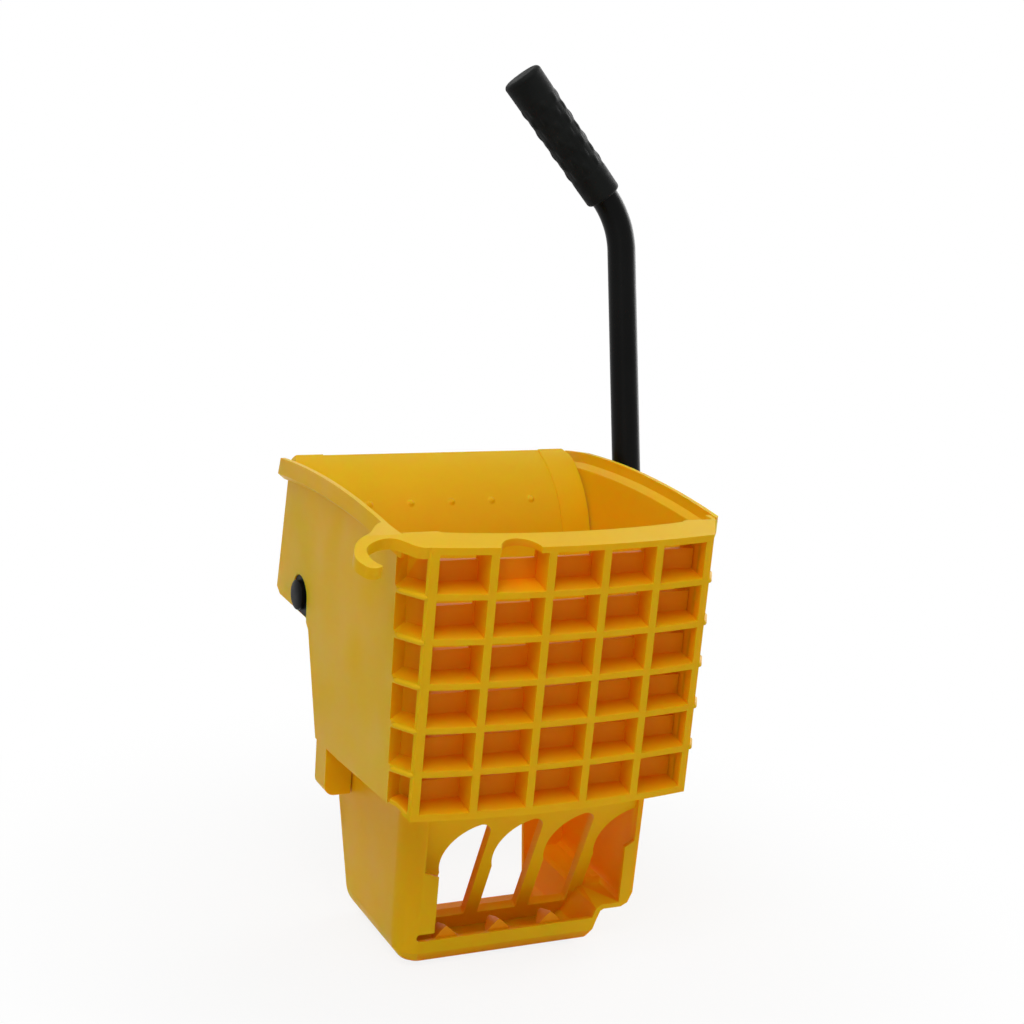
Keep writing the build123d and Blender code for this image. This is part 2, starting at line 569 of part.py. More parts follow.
with BuildPart() as drain_box:
    add(box_block.part)
    add(box_hollow.part, mode=Mode.SUBTRACT)

    # Window in the rear wall and the floor behind the tray
    with BuildSketch(Plane.XZ.offset(-BOX_FLOOR_REAR)):
        with BuildLine():
            Polyline((-WINDOW_TOP_X, WINDOW_TOP_Z), (-WINDOW_LOW_X, -1), (WINDOW_LOW_X, -1),
                     (WINDOW_TOP_X, WINDOW_TOP_Z), close=True)
        make_face()
    extrude(amount=-100, mode=Mode.SUBTRACT)

    # Front opening, wider above the step, with a scallop at the left end of the sill
    with BuildSketch(Plane.XZ.offset(-BOX_FRONT + 1)):
        with BuildLine():
            Polyline((OPENING_LEFT - LEFT_FLARE, OPENING_TOP), (OPENING_LEFT - LEFT_FLARE, LEFT_STEP),
                     (OPENING_LEFT, LEFT_STEP - STEP_FALL), (OPENING_LEFT, SILL_Z),
                     (TRAY_HOLLOW[3][0], SILL_Z), TRAY_HOLLOW[4], TRAY_HOLLOW[5],
                     (OPENING_RIGHT, TRAY_HOLLOW[5][1]), (OPENING_RIGHT, RIGHT_STEP - STEP_FALL),
                     (OPENING_RIGHT + RIGHT_FLARE, RIGHT_STEP), (OPENING_RIGHT + RIGHT_FLARE, OPENING_TOP),
                     close=True)
        make_face()
        with Locations((OPENING_LEFT - SCALLOP_R, SILL_Z + SCALLOP_R)):
            SlotOverall(SCALLOP_L, 2 * SCALLOP_R)
    extrude(amount=-BOX_WALL - 1.5, mode=Mode.SUBTRACT)

    add(grate.part)

    # Gussets between the strut feet and the sill
    sill_y = BOX_FRONT + BOX_WALL - 1
    toe_y = BOX_FRONT + 0.75 * BOX_TOE
    for column in (-1, 0, 1):
        gusset_x = column * COLUMN_PITCH + GUSSET_SHIFT
        for front, low, high in ((toe_y, BOX_WALL / 2, BOX_TOE), (sill_y, 0.7 * BOX_TOE, GUSSET_Z)):
            half = GUSSET_W / 2 * (GUSSET_REAR - front) / (GUSSET_REAR - sill_y)
            with BuildSketch(Plane.XY.offset(low)):
                with BuildLine():
                    Polyline((gusset_x - half, front), (gusset_x + half, front), (gusset_x, GUSSET_REAR),
                             close=True)
                make_face()
            extrude(amount=high - low)

    # Top flange, screwed up under the shelf, with the screw heads sunk in its flat underside
    with BuildSketch(Plane.XY.offset(SHELF_Z - BOX_WALL)):
        with BuildLine():
            flange_in = BOX_TOP_X - 1
            Polyline((-BOX_FLANGE_X, BOX_FLANGE_REAR), (-BOX_FLANGE_X, BOX_FLANGE_CORNER),
                     (-BOX_FLANGE_SIDE[0], BOX_FLANGE_SIDE[1]), (-BOX_FLANGE_NOSE, BOX_FLANGE_FRONT),
                     (BOX_FLANGE_NOSE, BOX_FLANGE_FRONT), BOX_FLANGE_SIDE,
                     (BOX_FLANGE_X, BOX_FLANGE_CORNER), (BOX_FLANGE_X, BOX_FLANGE_REAR),
                     (flange_in, BOX_FLANGE_REAR), (flange_in, BOX_FRONT + 1),
                     (-flange_in, BOX_FRONT + 1), (-flange_in, BOX_FLANGE_REAR), close=True)
        make_face()
    extrude(amount=BOX_WALL)
    for side in (1, -1):
        for screw_x, screw_y in BOX_SCREWS:
            with BuildSketch(Plane((side * screw_x, screw_y, SHELF_Z))):
                Circle(SCREW_R + SCREW_GAP)
            extrude(amount=-BOX_WALL, mode=Mode.SUBTRACT)
            with BuildSketch(Plane((side * screw_x, screw_y, SHELF_Z - BOX_WALL))):
                Circle(BOX_HEAD_R + BOX_HEAD_GAP)
            extrude(amount=BOX_WALL - BOX_SEAT_T, mode=Mode.SUBTRACT)
drain_box.part.label = "drain_box"
export_step(drain_box.part, "parts/drain_box.step")

# Press plate: a flat face that rolls over at the top, with two slotted ribs behind
plate_foot = along(HINGE, PLATE_LEAN - 90, HINGE_SET)
plate_back_foot = along(HINGE, PLATE_LEAN - 90, HINGE_SET - PLATE_T)
roll_start = PLATE_LEAN - 90
roll_mid = (roll_start + ROLL_END) / 2
roll_edge = along(ROLL, ROLL_END, ROLL_R)
roll_edge_back = along(ROLL, ROLL_END, ROLL_R - PLATE_T)
rib_low_r = hypot(AXLE_Y - HINGE[0], AXLE_Z - HINGE[1]) + TUBE_R + AXLE_GAP
rib_front_angle = PLATE_LEAN - degrees(asin((HINGE_SET - PLATE_T / 2) / rib_low_r))
pin_angle = degrees(atan2(PIN_REST[0] - HINGE[0], PIN_REST[1] - HINGE[1]))
eye_r = ROLLER_R + SLOT_GAP + SLOT_LAND
rib_rear_angle = pin_angle + degrees(eye_r / rib_low_r)
band_foot = along(plate_foot, PLATE_LEAN, KNUCKLE_R)
with BuildPart() as press_plate:
    with BuildSketch(Plane.YZ):
        with BuildLine():
            Line(plate_foot, PLATE_TOP)
            ThreePointArc(PLATE_TOP, along(ROLL, roll_mid, ROLL_R), roll_edge)
            Line(roll_edge, roll_edge_back)
            ThreePointArc(roll_edge_back, along(ROLL, roll_mid, ROLL_R - PLATE_T),
                          along(ROLL, roll_start, ROLL_R - PLATE_T))
            Polyline(along(ROLL, roll_start, ROLL_R - PLATE_T), plate_back_foot, plate_foot)
        make_face()
    extrude(amount=SIDE_X, both=True)
    with BuildSketch(Plane.YZ):
        with BuildLine():
            lip_y, lip_z = roll_edge_back
            Polyline((lip_y - LIP_T, lip_z + 1), (lip_y, lip_z), (lip_y, lip_z - LIP_DROP),
                     (lip_y - LIP_T, lip_z - LIP_DROP), close=True)
        make_face()
    extrude(amount=SIDE_X, both=True)
    for side in (1, -1):
        with BuildSketch(Plane.YZ.offset(side * SIDE_X)):
            with BuildLine():
                Line(band_foot, PLATE_TOP)
                ThreePointArc(PLATE_TOP, along(ROLL, roll_mid, ROLL_R), roll_edge)
                Line(roll_edge, along(ROLL, ROLL_END, ROLL_R + BAND_T))
                ThreePointArc(along(ROLL, ROLL_END, ROLL_R + BAND_T), along(ROLL, roll_mid, ROLL_R + BAND_T),
                              along(ROLL, roll_start, ROLL_R + BAND_T))
                Polyline(along(ROLL, roll_start, ROLL_R + BAND_T), along(band_foot, PLATE_LEAN - 90, BAND_T),
                         band_foot)
            make_face()
        extrude(amount=-side * (WALL + PLATE_GAP + BAND_W))

    # The ends follow the side walls and clear the hinge bosses
    low_half = half_width(SHELL_Z0) - WALL - PLATE_GAP
    turn_z = roll_edge[1] + 2 * BAND_T - PLATE_CORNER
    high_half = half_width(turn_z) - WALL - PLATE_GAP
    top_half = high_half - PLATE_CORNER
    bulge = PLATE_CORNER * sin(radians(45))
    with BuildSketch(Plane.XZ):
        with BuildLine():
            Polyline((-high_half, turn_z), (-low_half, SHELL_Z0), (low_half, SHELL_Z0), (high_half, turn_z))
            ThreePointArc((high_half, turn_z), (top_half + bulge, turn_z + bulge),
                          (top_half, turn_z + PLATE_CORNER))
            Line((top_half, turn_z + PLATE_CORNER), (-top_half, turn_z + PLATE_CORNER))
            ThreePointArc((-top_half, turn_z + PLATE_CORNER), (-top_half - bulge, turn_z + bulge),
                          (-high_half, turn_z))
        make_face()
    extrude(amount=300, both=True, mode=Mode.INTERSECT)
    for side in (1, -1):
        outward = (side, 0, 0)
        with BuildSketch(Plane((side * KNUCKLE_OUT, HINGE[0], HINGE[1]), (0, 1, 0), outward)):
            Circle(HINGE_BOSS_R + BOSS_GAP)
        extrude(amount=40, mode=Mode.SUBTRACT)
        with BuildSketch(Plane((side * KNUCKLE_IN, HINGE[0], HINGE[1]), (0, 1, 0), outward)):
            Circle(KNUCKLE_R)
        extrude(amount=KNUCKLE_OUT - KNUCKLE_IN)
        with BuildSketch(Plane.YZ.offset(side * RIB_MID_X)):
            with BuildLine():
                low_front = along(HINGE, rib_front_angle, rib_low_r)
                low_mid = along(HINGE, (rib_front_angle + rib_rear_angle) / 2, rib_low_r)
                low_rear = along(HINGE, rib_rear_angle, rib_low_r)
                ThreePointArc(low_front, low_mid, low_rear)
                rib_r = ROLL_R - PLATE_T / 2
                Polyline(low_rear, along(SLOT_END, pin_angle + 90, eye_r),
                         along(PIN_REST, pin_angle + 90, eye_r), along(PIN_REST, pin_angle + 40, eye_r),
                         along(ROLL, ROLL_END, rib_r))
                ThreePointArc(along(ROLL, ROLL_END, rib_r), along(ROLL, roll_mid, rib_r),
                              along(ROLL, roll_start, rib_r))
                Line(along(ROLL, roll_start, rib_r), low_front)
            make_face()
        extrude(amount=RIB_T / 2, both=True)
        with BuildSketch(Plane.YZ.offset(side * RIB_MID_X)):
            with BuildLine() as slot_line:
                ThreePointArc(PIN_REST, SLOT_MID, SLOT_END)
            SlotArc(slot_line.edges()[0], 2 * (ROLLER_R + SLOT_GAP))
        extrude(amount=RIB_T, both=True, mode=Mode.SUBTRACT)
        with BuildSketch(Plane((side * (KNUCKLE_IN - 1), HINGE[0], HINGE[1]), (0, 1, 0), outward)):
            Circle(HINGE_R + FIT)
        extrude(amount=KNUCKLE_OUT - KNUCKLE_IN + 2, mode=Mode.SUBTRACT)

    # Nubs: one row on the roll, the others below it on the flat face
    roll_left = ROLL_R * radians(NUB_ANGLE - roll_start)
    for row in range(NUB_ROWS):
        nub_angle = NUB_ANGLE if row == 0 else roll_start
        nub_at = along(ROLL, nub_angle, ROLL_R - 1)
        if row > 0:
            nub_at = along(nub_at, PLATE_LEAN, roll_left - row * NUB_PITCH)
        facing = (0, sin(radians(nub_angle)), cos(radians(nub_angle)))
        for column in range(NUB_COLUMNS):
            nub_x = (column - (NUB_COLUMNS - 1) / 2) * NUB_PITCH
            with BuildSketch(Plane((nub_x, nub_at[0], nub_at[1]), (1, 0, 0), facing)):
                Circle(NUB_R)
            extrude(amount=NUB_H + 1)
press_plate.part.label = "press_plate"
export_step(press_plate.part, "parts/press_plate.step")

with BuildPart() as lever_tube:
    with BuildLine() as lever_path:
        FilletPolyline(LEVER_FOOT + UP * LEVER_START, CORNER, CORNER + GRIP_DIR * LEVER_TIP, radius=BEND_R)
    with BuildSketch(Plane(lever_path.line @ 0, (1, 0, 0), lever_path.line % 0)):
        Circle(TUBE_R)
        Circle(TUBE_R - TUBE_WALL, mode=Mode.SUBTRACT)
    sweep(path=lever_path.line)
    with BuildSketch(Plane(LEVER_FOOT + UP * LEVER_BOLT, (0, 1, 0), (1, 0, 0))):
        Circle(BOLT_R + BOLT_GAP)
    extrude(amount=TUBE_R + 2, both=True, mode=Mode.SUBTRACT)
lever_tube.part.label = "lever_tube"
export_step(lever_tube.part, "parts/lever_tube.step")

with BuildPart() as handle_grip:
    with BuildSketch(Plane(CORNER, GRIP_DIR, BACK)):
        with BuildLine():
            low_collar_r = GRIP_LOW_R + GRIP_DENT
            Polyline((GRIP_START, TUBE_R + FIT), (GRIP_START, low_collar_r - GRIP_CHAMFER),
                     (GRIP_START + GRIP_CHAMFER, low_collar_r), (GRIP_START + GRIP_COLLAR, low_collar_r),
                     (GRIP_START + GRIP_COLLAR, GRIP_LOW_R), (GRIP_END - GRIP_COLLAR, GRIP_R - GRIP_DENT),
                     (GRIP_END - GRIP_COLLAR, GRIP_R), (GRIP_END - GRIP_CHAMFER, GRIP_R),
                     (GRIP_END, GRIP_R - GRIP_CHAMFER), (GRIP_END, 0), (LEVER_TIP + 0.5, 0),
                     (LEVER_TIP + 0.5, TUBE_R + FIT), close=True)
        make_face()
    revolve(axis=Axis(CORNER, GRIP_DIR))
handle_grip.part.label = "handle_grip"
export_step(handle_grip.part, "parts/handle_grip.step")

CRANK_DIR = Vector(0, sin(radians(CRANK_BACK)), cos(radians(CRANK_BACK)))
DOWEL_X = CRANK_IN + CRANK_HUB_L - 6
with BuildPart() as axle_tube:
    with BuildSketch(Plane((AXLE_LEFT, AXLE_Y, AXLE_Z), (0, 1, 0), (1, 0, 0))):
        Circle(TUBE_R)
        Circle(TUBE_R - TUBE_WALL, mode=Mode.SUBTRACT)
    extrude(amount=AXLE_RIGHT - AXLE_LEFT)
    for dowel_x in (DOWEL_X, -DOWEL_X):
        with BuildSketch(Plane((dowel_x, AXLE_Y, AXLE_Z), (1, 0, 0), CRANK_DIR)):
            Circle(DOWEL_R + FIT)
        extrude(amount=TUBE_R + 2, both=True, mode=Mode.SUBTRACT)
    with BuildSketch(Plane((HUB_BOLT_X, AXLE_Y, AXLE_Z), (1, 0, 0), BACK)):
        Circle(BOLT_R + BOLT_GAP)
    extrude(amount=TUBE_R + 2, both=True, mode=Mode.SUBTRACT)
axle_tube.part.label = "axle_tube"
export_step(axle_tube.part, "parts/axle_tube.step")

with BuildPart() as axle_cap:
    with BuildSketch(Plane((0, AXLE_Y, AXLE_Z), (1, 0, 0), (0, -1, 0))):
        with BuildLine():
            Polyline((CAP_X, 0), (CAP_X, TUBE_R - 3), (CAP_X + 1.2, TUBE_R), (AXLE_LEFT, TUBE_R),
                     (AXLE_LEFT, TUBE_R - TUBE_WALL - FIT), (AXLE_LEFT + CAP_PLUG, TUBE_R - TUBE_WALL - FIT),
                     (AXLE_LEFT + CAP_PLUG, 0), close=True)
        make_face()
    revolve(axis=Axis((0, AXLE_Y, AXLE_Z), (1, 0, 0)))
axle_cap.part.label = "axle_cap"
export_step(axle_cap.part, "parts/axle_cap.step")

with BuildPart() as lever_socket:
    with BuildSketch(Plane((HUB_IN, AXLE_Y, AXLE_Z), (0, 1, 0), (1, 0, 0))):
        Circle(HUB_R)
    extrude(amount=HUB_OUT - HUB_IN)
    with BuildSketch(Plane(LEVER_FOOT, (1, 0, 0), UP)):
        Circle(SLEEVE_R)
    extrude(amount=SLEEVE_L)
    with BuildSketch(Plane(LEVER_FOOT + UP * LEVER_BOLT, (0, 1, 0), (1, 0, 0))):
        Circle(SEAT_R)
    extrude(amount=SLEEVE_R + SEAT_H, both=True)
    with BuildSketch(Plane((HUB_BOLT_X, AXLE_Y, AXLE_Z), (1, 0, 0), BACK)):
        Circle(SEAT_R)
    extrude(amount=HUB_R + SEAT_H, both=True)
    with BuildSketch(Plane((HUB_IN - 1, AXLE_Y, AXLE_Z), (0, 1, 0), (1, 0, 0))):
        Circle(TUBE_R + FIT)
    extrude(amount=AXLE_RIGHT + 0.5 - HUB_IN + 1, mode=Mode.SUBTRACT)
    with BuildSketch(Plane(LEVER_FOOT + UP * (LEVER_START - 0.5), (1, 0, 0), UP)):
        Circle(TUBE_R + FIT)
    extrude(amount=SLEEVE_L, mode=Mode.SUBTRACT)
    with BuildSketch(Plane(LEVER_FOOT + UP * LEVER_BOLT, (0, 1, 0), (1, 0, 0))):
        Circle(BOLT_R + BOLT_GAP)
    extrude(amount=SLEEVE_R + 2 * SEAT_H, both=True, mode=Mode.SUBTRACT)
    with BuildSketch(Plane((HUB_BOLT_X, AXLE_Y, AXLE_Z), (1, 0, 0), BACK)):
        Circle(BOLT_R + BOLT_GAP)
    extrude(amount=HUB_R + 2 * SEAT_H, both=True, mode=Mode.SUBTRACT)
lever_socket.part.label = "lever_socket"
export_step(lever_socket.part, "parts/lever_socket.step")

# Two bolts with their nuts: one through the sleeve, one through the hub
LEVER_BOLT_AT = LEVER_FOOT + UP * LEVER_BOLT
HUB_BOLT_AT = Vector(HUB_BOLT_X, AXLE_Y, AXLE_Z)
for name, centre, axis, across, reach in (
        ("lever", LEVER_BOLT_AT, Vector(1, 0, 0), Vector(0, 1, 0), SLEEVE_R + SEAT_H),
        ("hub", HUB_BOLT_AT, BACK, Vector(1, 0, 0), HUB_R + SEAT_H)):
    with BuildPart() as bolt:
        with BuildSketch(Plane(centre + axis * reach, across, axis)):
            RegularPolygon(HEX_R, 6)
        extrude(amount=HEAD_T)
        with BuildSketch(Plane(centre + axis * reach, across, axis)):
            Circle(BOLT_R)
        extrude(amount=-(2 * reach + NUT_T + 2))
    bolt.part.label = f"{name}_bolt"
    export_step(bolt.part, f"parts/{name}_bolt.step")
    with BuildPart() as nut:
        with BuildSketch(Plane(centre - axis * reach, across, axis)):
            RegularPolygon(HEX_R, 6)
            Circle(BOLT_R + FIT, mode=Mode.SUBTRACT)
        extrude(amount=-NUT_T)
    nut.part.label = f"{name}_nut"
    export_step(nut.part, f"parts/{name}_nut.step")

# Pieces that come in pairs
for side, name in ((1, "right"), (-1, "left")):
    outward = (side, 0, 0)
    with BuildPart() as bush:
        for radius, start, length in ((AXLE_NOTCH_R - BUSH_GAP, BUSH_IN, BUSH_OUT - BUSH_IN),
                                      (BUSH_FLANGE_R, LAND_X - BUSH_FLANGE_T, BUSH_FLANGE_T)):
            with BuildSketch(Plane((side * start, AXLE_Y, AXLE_Z), (0, side, 0), outward)):
                with BuildLine():
                    ThreePointArc((-radius, 0), (0, radius), (radius, 0))
                    Polyline((radius, 0), (radius, -BUSH_FLAT), (-radius, -BUSH_FLAT), (-radius, 0))
                make_face()
            extrude(amount=length)
        with BuildSketch(Plane((side * (BUSH_IN - 1), AXLE_Y, AXLE_Z), (0, side, 0), outward)):
            Circle(TUBE_R + FIT)
        extrude(amount=BUSH_OUT - BUSH_IN + 2, mode=Mode.SUBTRACT)
    bush.part.label = f"axle_bush_{name}"
    export_step(bush.part, f"parts/axle_bush_{name}.step")

    with BuildPart() as keeper:
        keeper_top = AXLE_Z - BUSH_FLAT - BUSH_GAP
        keeper_low = keeper_top - KEEPER_T
        with BuildSketch(Plane.YZ.offset(side * LAND_X)):
            with BuildLine():
                Polyline((AXLE_Y - KEEPER_TIP, keeper_low), (AXLE_Y + KEEPER_NECK, keeper_low),
                         (AXLE_Y + KEEPER_NECK, LUG_Z + 3), (AXLE_Y + KEEPER_OUT, LUG_Z + 3),
                         (AXLE_Y + KEEPER_OUT, AXLE_Z + 10), (AXLE_Y + KEEPER_IN, AXLE_Z + 10),
                         (AXLE_Y + KEEPER_IN, keeper_top), (AXLE_Y - KEEPER_TIP, keeper_top), close=True)
            make_face()
        extrude(amount=-side * KEEPER_T)
        with BuildSketch(Plane.YZ.offset(side * LAND_X)):
            with BuildLine():
                Polyline((AXLE_Y - KEEPER_TIP, keeper_low), (AXLE_Y + KEEPER_NECK, keeper_low),
                         (AXLE_Y + KEEPER_NECK, keeper_top), (AXLE_Y - KEEPER_TIP, keeper_top), close=True)
            make_face()
        extrude(amount=-side * KEEPER_DEPTH)
        with BuildSketch(Plane((side * (LAND_X + 1), KEEPER_SCREW[0], KEEPER_SCREW[1]), (0, 1, 0), outward)):
            Circle(2 + SCREW_GAP)
        extrude(amount=-KEEPER_T - 2, mode=Mode.SUBTRACT)
    keeper.part.label = f"axle_keeper_{name}"
    export_step(keeper.part, f"parts/axle_keeper_{name}.step")

    with BuildPart() as keeper_screw:
        seat = Vector(side * (LAND_X - KEEPER_T), KEEPER_SCREW[0], KEEPER_SCREW[1])
        with BuildSketch(Plane(seat, (0, 1, 0), outward)):
            Circle(2)
        extrude(amount=KEEPER_SCREW_L)
        with BuildSketch(Plane(seat, (0, 1, 0), outward)):
            Circle(SCREW_HEAD_R)
        extrude(amount=-SCREW_HEAD_T)
    keeper_screw.part.label = f"keeper_screw_{name}"
    export_step(keeper_screw.part, f"parts/keeper_screw_{name}.step")

    collar_in = BUSH_IN - COLLAR_FLOAT - COLLAR_W
    with BuildPart() as collar:
        with BuildSketch(Plane((side * collar_in, AXLE_Y, AXLE_Z), (0, 1, 0), outward)):
            Circle(COLLAR_R)
            Circle(TUBE_R + FIT, mode=Mode.SUBTRACT)
        extrude(amount=COLLAR_W)
        with BuildSketch(Plane((side * (collar_in + COLLAR_W / 2), AXLE_Y, AXLE_Z))):
            Circle(DOWEL_R + FIT)
        extrude(amount=COLLAR_R + 1, mode=Mode.SUBTRACT)
    collar.part.label = f"axle_collar_{name}"
    export_step(collar.part, f"parts/axle_collar_{name}.step")

    with BuildPart() as collar_screw:
        with BuildSketch(Plane((side * (collar_in + COLLAR_W / 2), AXLE_Y, AXLE_Z + TUBE_R + FIT))):
            Circle(DOWEL_R)
        extrude(amount=COLLAR_R - TUBE_R + 1)
    collar_screw.part.label = f"collar_screw_{name}"
    export_step(collar_screw.part, f"parts/collar_screw_{name}.step")

    with BuildPart() as crank:
        with BuildSketch(Plane((side * CRANK_IN, 0, 0), (0, side, 0), outward)):
            with Locations((side * AXLE_Y, AXLE_Z)):
                Circle(CRANK_HUB_R)
            with Locations((side * PIN_REST[0], PIN_REST[1])):
                Circle(CRANK_EYE_R)
            make_hull()
        extrude(amount=CRANK_T)
        with BuildSketch(Plane((side * CRANK_IN, AXLE_Y, AXLE_Z), (0, side, 0), outward)):
            Circle(CRANK_HUB_R)
        extrude(amount=CRANK_HUB_L)
        with BuildSketch(Plane((side * (CRANK_IN - 1), AXLE_Y, AXLE_Z), (0, side, 0), outward)):
            Circle(TUBE_R + FIT)
        extrude(amount=CRANK_HUB_L + 2, mode=Mode.SUBTRACT)
        with BuildSketch(Plane((side * (CRANK_IN - 1), PIN_REST[0], PIN_REST[1]), (0, side, 0), outward)):
            Circle(PIN_R + FIT)
        extrude(amount=CRANK_T + 2, mode=Mode.SUBTRACT)
        with BuildSketch(Plane((side * DOWEL_X, AXLE_Y, AXLE_Z), (1, 0, 0), CRANK_DIR)):
            Circle(DOWEL_R + FIT)
        extrude(amount=CRANK_HUB_R + 1, both=True, mode=Mode.SUBTRACT)
    crank.part.label = f"crank_{name}"
    export_step(crank.part, f"parts/crank_{name}.step")

    with BuildPart() as dowel:
        with BuildSketch(Plane((side * DOWEL_X, AXLE_Y, AXLE_Z), (1, 0, 0), CRANK_DIR)):
            Circle(DOWEL_R)
        extrude(amount=CRANK_HUB_R - 0.5, both=True)
    dowel.part.label = f"crank_dowel_{name}"
    export_step(dowel.part, f"parts/crank_dowel_{name}.step")

    with BuildPart() as roller:
        with BuildSketch(Plane((side * RIB_MID_X, PIN_REST[0], PIN_REST[1]), (0, 1, 0), outward)):
            Circle(ROLLER_R)
            Circle(PIN_R + FIT, mode=Mode.SUBTRACT)
        extrude(amount=ROLLER_W / 2, both=True)
    roller.part.label = f"roller_{name}"
    export_step(roller.part, f"parts/roller_{name}.step")

    groove_out = RIB_MID_X - RIB_T / 2 - 0.1
    with BuildPart() as roller_pin:
        with BuildSketch(Plane((side * (CRANK_IN + CRANK_T), PIN_REST[0], PIN_REST[1]), (0, 1, 0), outward)):
            Circle(PIN_HEAD_R)
        extrude(amount=PIN_HEAD_T)
        with BuildSketch(Plane((side * (CRANK_IN + CRANK_T), PIN_REST[0], PIN_REST[1]), (0, 1, 0), outward)):
            Circle(PIN_R)
        extrude(amount=-(CRANK_IN + CRANK_T - groove_out + CLIP_T + 1.5))
        with BuildSketch(Plane((side * groove_out, PIN_REST[0], PIN_REST[1]), (0, 1, 0), outward)):
            Circle(PIN_R + 1)
            Circle(GROOVE_R, mode=Mode.SUBTRACT)
        extrude(amount=-CLIP_T - 2 * FIT, mode=Mode.SUBTRACT)
    roller_pin.part.label = f"roller_pin_{name}"
    export_step(roller_pin.part, f"parts/roller_pin_{name}.step")

    with BuildPart() as clip:
        with BuildSketch(Plane((side * (groove_out - FIT), PIN_REST[0], PIN_REST[1]), (0, 1, 0), outward)):
            Circle(CLIP_R)
            Circle(GROOVE_R + FIT, mode=Mode.SUBTRACT)
            with Locations((0, -CLIP_R)):
                Rectangle(2 * GROOVE_R, 2 * CLIP_R, mode=Mode.SUBTRACT)
        extrude(amount=-CLIP_T)
    clip.part.label = f"roller_clip_{name}"
    export_step(clip.part, f"parts/roller_clip_{name}.step")

    with BuildPart() as hinge_pin:
        with BuildSketch(Plane((side * (KNUCKLE_IN - COLLAR_FLOAT), HINGE[0], HINGE[1]), (0, 1, 0), outward)):
            Circle(HINGE_HEAD_R)
        extrude(amount=-HINGE_HEAD_T)
        with BuildSketch(Plane((side * (KNUCKLE_IN - COLLAR_FLOAT), HINGE[0], HINGE[1]), (0, 1, 0), outward)):
            Circle(HINGE_R)
        extrude(amount=HINGE_TIP_X - KNUCKLE_IN + COLLAR_FLOAT)
    hinge_pin.part.label = f"hinge_pin_{name}"
    export_step(hinge_pin.part, f"parts/hinge_pin_{name}.step")

    for number, (screw_x, screw_y) in enumerate(BOX_SCREWS, 1):
        seat = Vector(side * screw_x, screw_y, SHELF_Z - BOX_SEAT_T)
        with BuildPart() as box_screw:
            with BuildSketch(Plane(seat)):
                Circle(SCREW_R)
            extrude(amount=BOX_SCREW_L)
            with BuildSketch(Plane(seat)):
                Circle(BOX_HEAD_R)
            extrude(amount=-BOX_HEAD_T)
        box_screw.part.label = f"box_screw_{name}_{number}"
        export_step(box_screw.part, f"parts/box_screw_{name}_{number}.step")
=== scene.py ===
"""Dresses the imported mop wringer: yellow mouldings, black lever, plated hardware and stage."""
import json
from collections import namedtuple
from contextlib import contextmanager
from math import cos, pi, radians, sin, tan

import bmesh
import bpy
import numpy as np
from bpy.props import FloatProperty, FloatVectorProperty, IntProperty, PointerProperty
from bpy.types import Operator, Panel, PropertyGroup
from mathutils import Matrix, Vector


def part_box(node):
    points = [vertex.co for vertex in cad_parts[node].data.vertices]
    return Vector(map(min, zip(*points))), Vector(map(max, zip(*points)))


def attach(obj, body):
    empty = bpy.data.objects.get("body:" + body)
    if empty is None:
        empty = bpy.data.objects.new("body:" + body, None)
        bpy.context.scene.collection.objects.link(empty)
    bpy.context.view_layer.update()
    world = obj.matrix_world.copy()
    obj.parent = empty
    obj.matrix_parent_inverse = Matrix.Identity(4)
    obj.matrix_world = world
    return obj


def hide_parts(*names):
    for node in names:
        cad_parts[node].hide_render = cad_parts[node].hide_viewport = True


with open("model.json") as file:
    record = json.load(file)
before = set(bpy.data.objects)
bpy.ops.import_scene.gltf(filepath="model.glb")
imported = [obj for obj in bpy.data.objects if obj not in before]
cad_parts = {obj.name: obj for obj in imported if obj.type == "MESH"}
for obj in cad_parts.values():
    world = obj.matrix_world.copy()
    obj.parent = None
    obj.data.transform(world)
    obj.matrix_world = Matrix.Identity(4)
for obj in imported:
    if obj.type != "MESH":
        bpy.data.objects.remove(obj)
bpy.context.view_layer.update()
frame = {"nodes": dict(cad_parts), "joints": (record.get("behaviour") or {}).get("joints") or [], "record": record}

bl_info = {
    "name": "Mop wringer",
    "version": (1, 0, 0),
    "blender": (4, 5, 0),
    "location": "3D View > Sidebar > Wringer",
    "description": "Finishes and fine shapes for a side-press mop wringer",
    "category": "Object",
}

NODES = frame["nodes"]
AXLE = np.array({joint["name"]: joint for joint in frame["joints"]}["lever_swing"]["pos_m"])
RECORD = frame["record"]
BODY_OF = {node: body for body, nodes in RECORD["behaviour"]["bodies"].items() for node in nodes}
SLOT_OF = {row["node"]: row["material_slot"] for row in RECORD["subparts"]}

# Mesh making: lengths in metres, here and below
MERGE = 1e-5
RING = 96
SHARP = radians(60)
FLAT = radians(0.5)
WIDE_STEPS = 6
EDGE_STEPS = 2
FLAT_WEIGHT = 100
BACK = np.array((0.0, 1.0, 0.0))
UP = np.array((0.0, 0.0, 1.0))

# The hopper's front wall, sides and drip cells; NEAR and SKIN are slack for finding points
FRONT_Y = -0.080
BOW = 0.007
RIB_X = 0.12075
CORNER_RUN = 1.6
CORNER_SLANT = np.hypot(1, CORNER_RUN)
CELL_X = 0.1142
CELL_LEAN = 0.055
CELL_SLOPE = tan(radians(12.4))
CELL_DEPTH = 0.018
CELL_BACK = CELL_DEPTH + 0.002
GRID_Z = 0.1477
GRID_TOP = 0.3595
GRID_ROWS = 6
ROW_PITCH = 0.0352
SLOT_FRONT = 0.85 * CELL_DEPTH
SLOT_BACK = 2 * CELL_DEPTH
SLOT_LOW = 0.01366
SLOT_NEAR = 0.0004
SIDE_X = 0.1365
SIDE_Z = 0.345
SIDE_DRAFT = tan(radians(1.39))
SIDE_SKIN = 0.0015
SHELF_Z = 0.150
RIM_NEAR = 0.004
RIM_REAR = 0.190
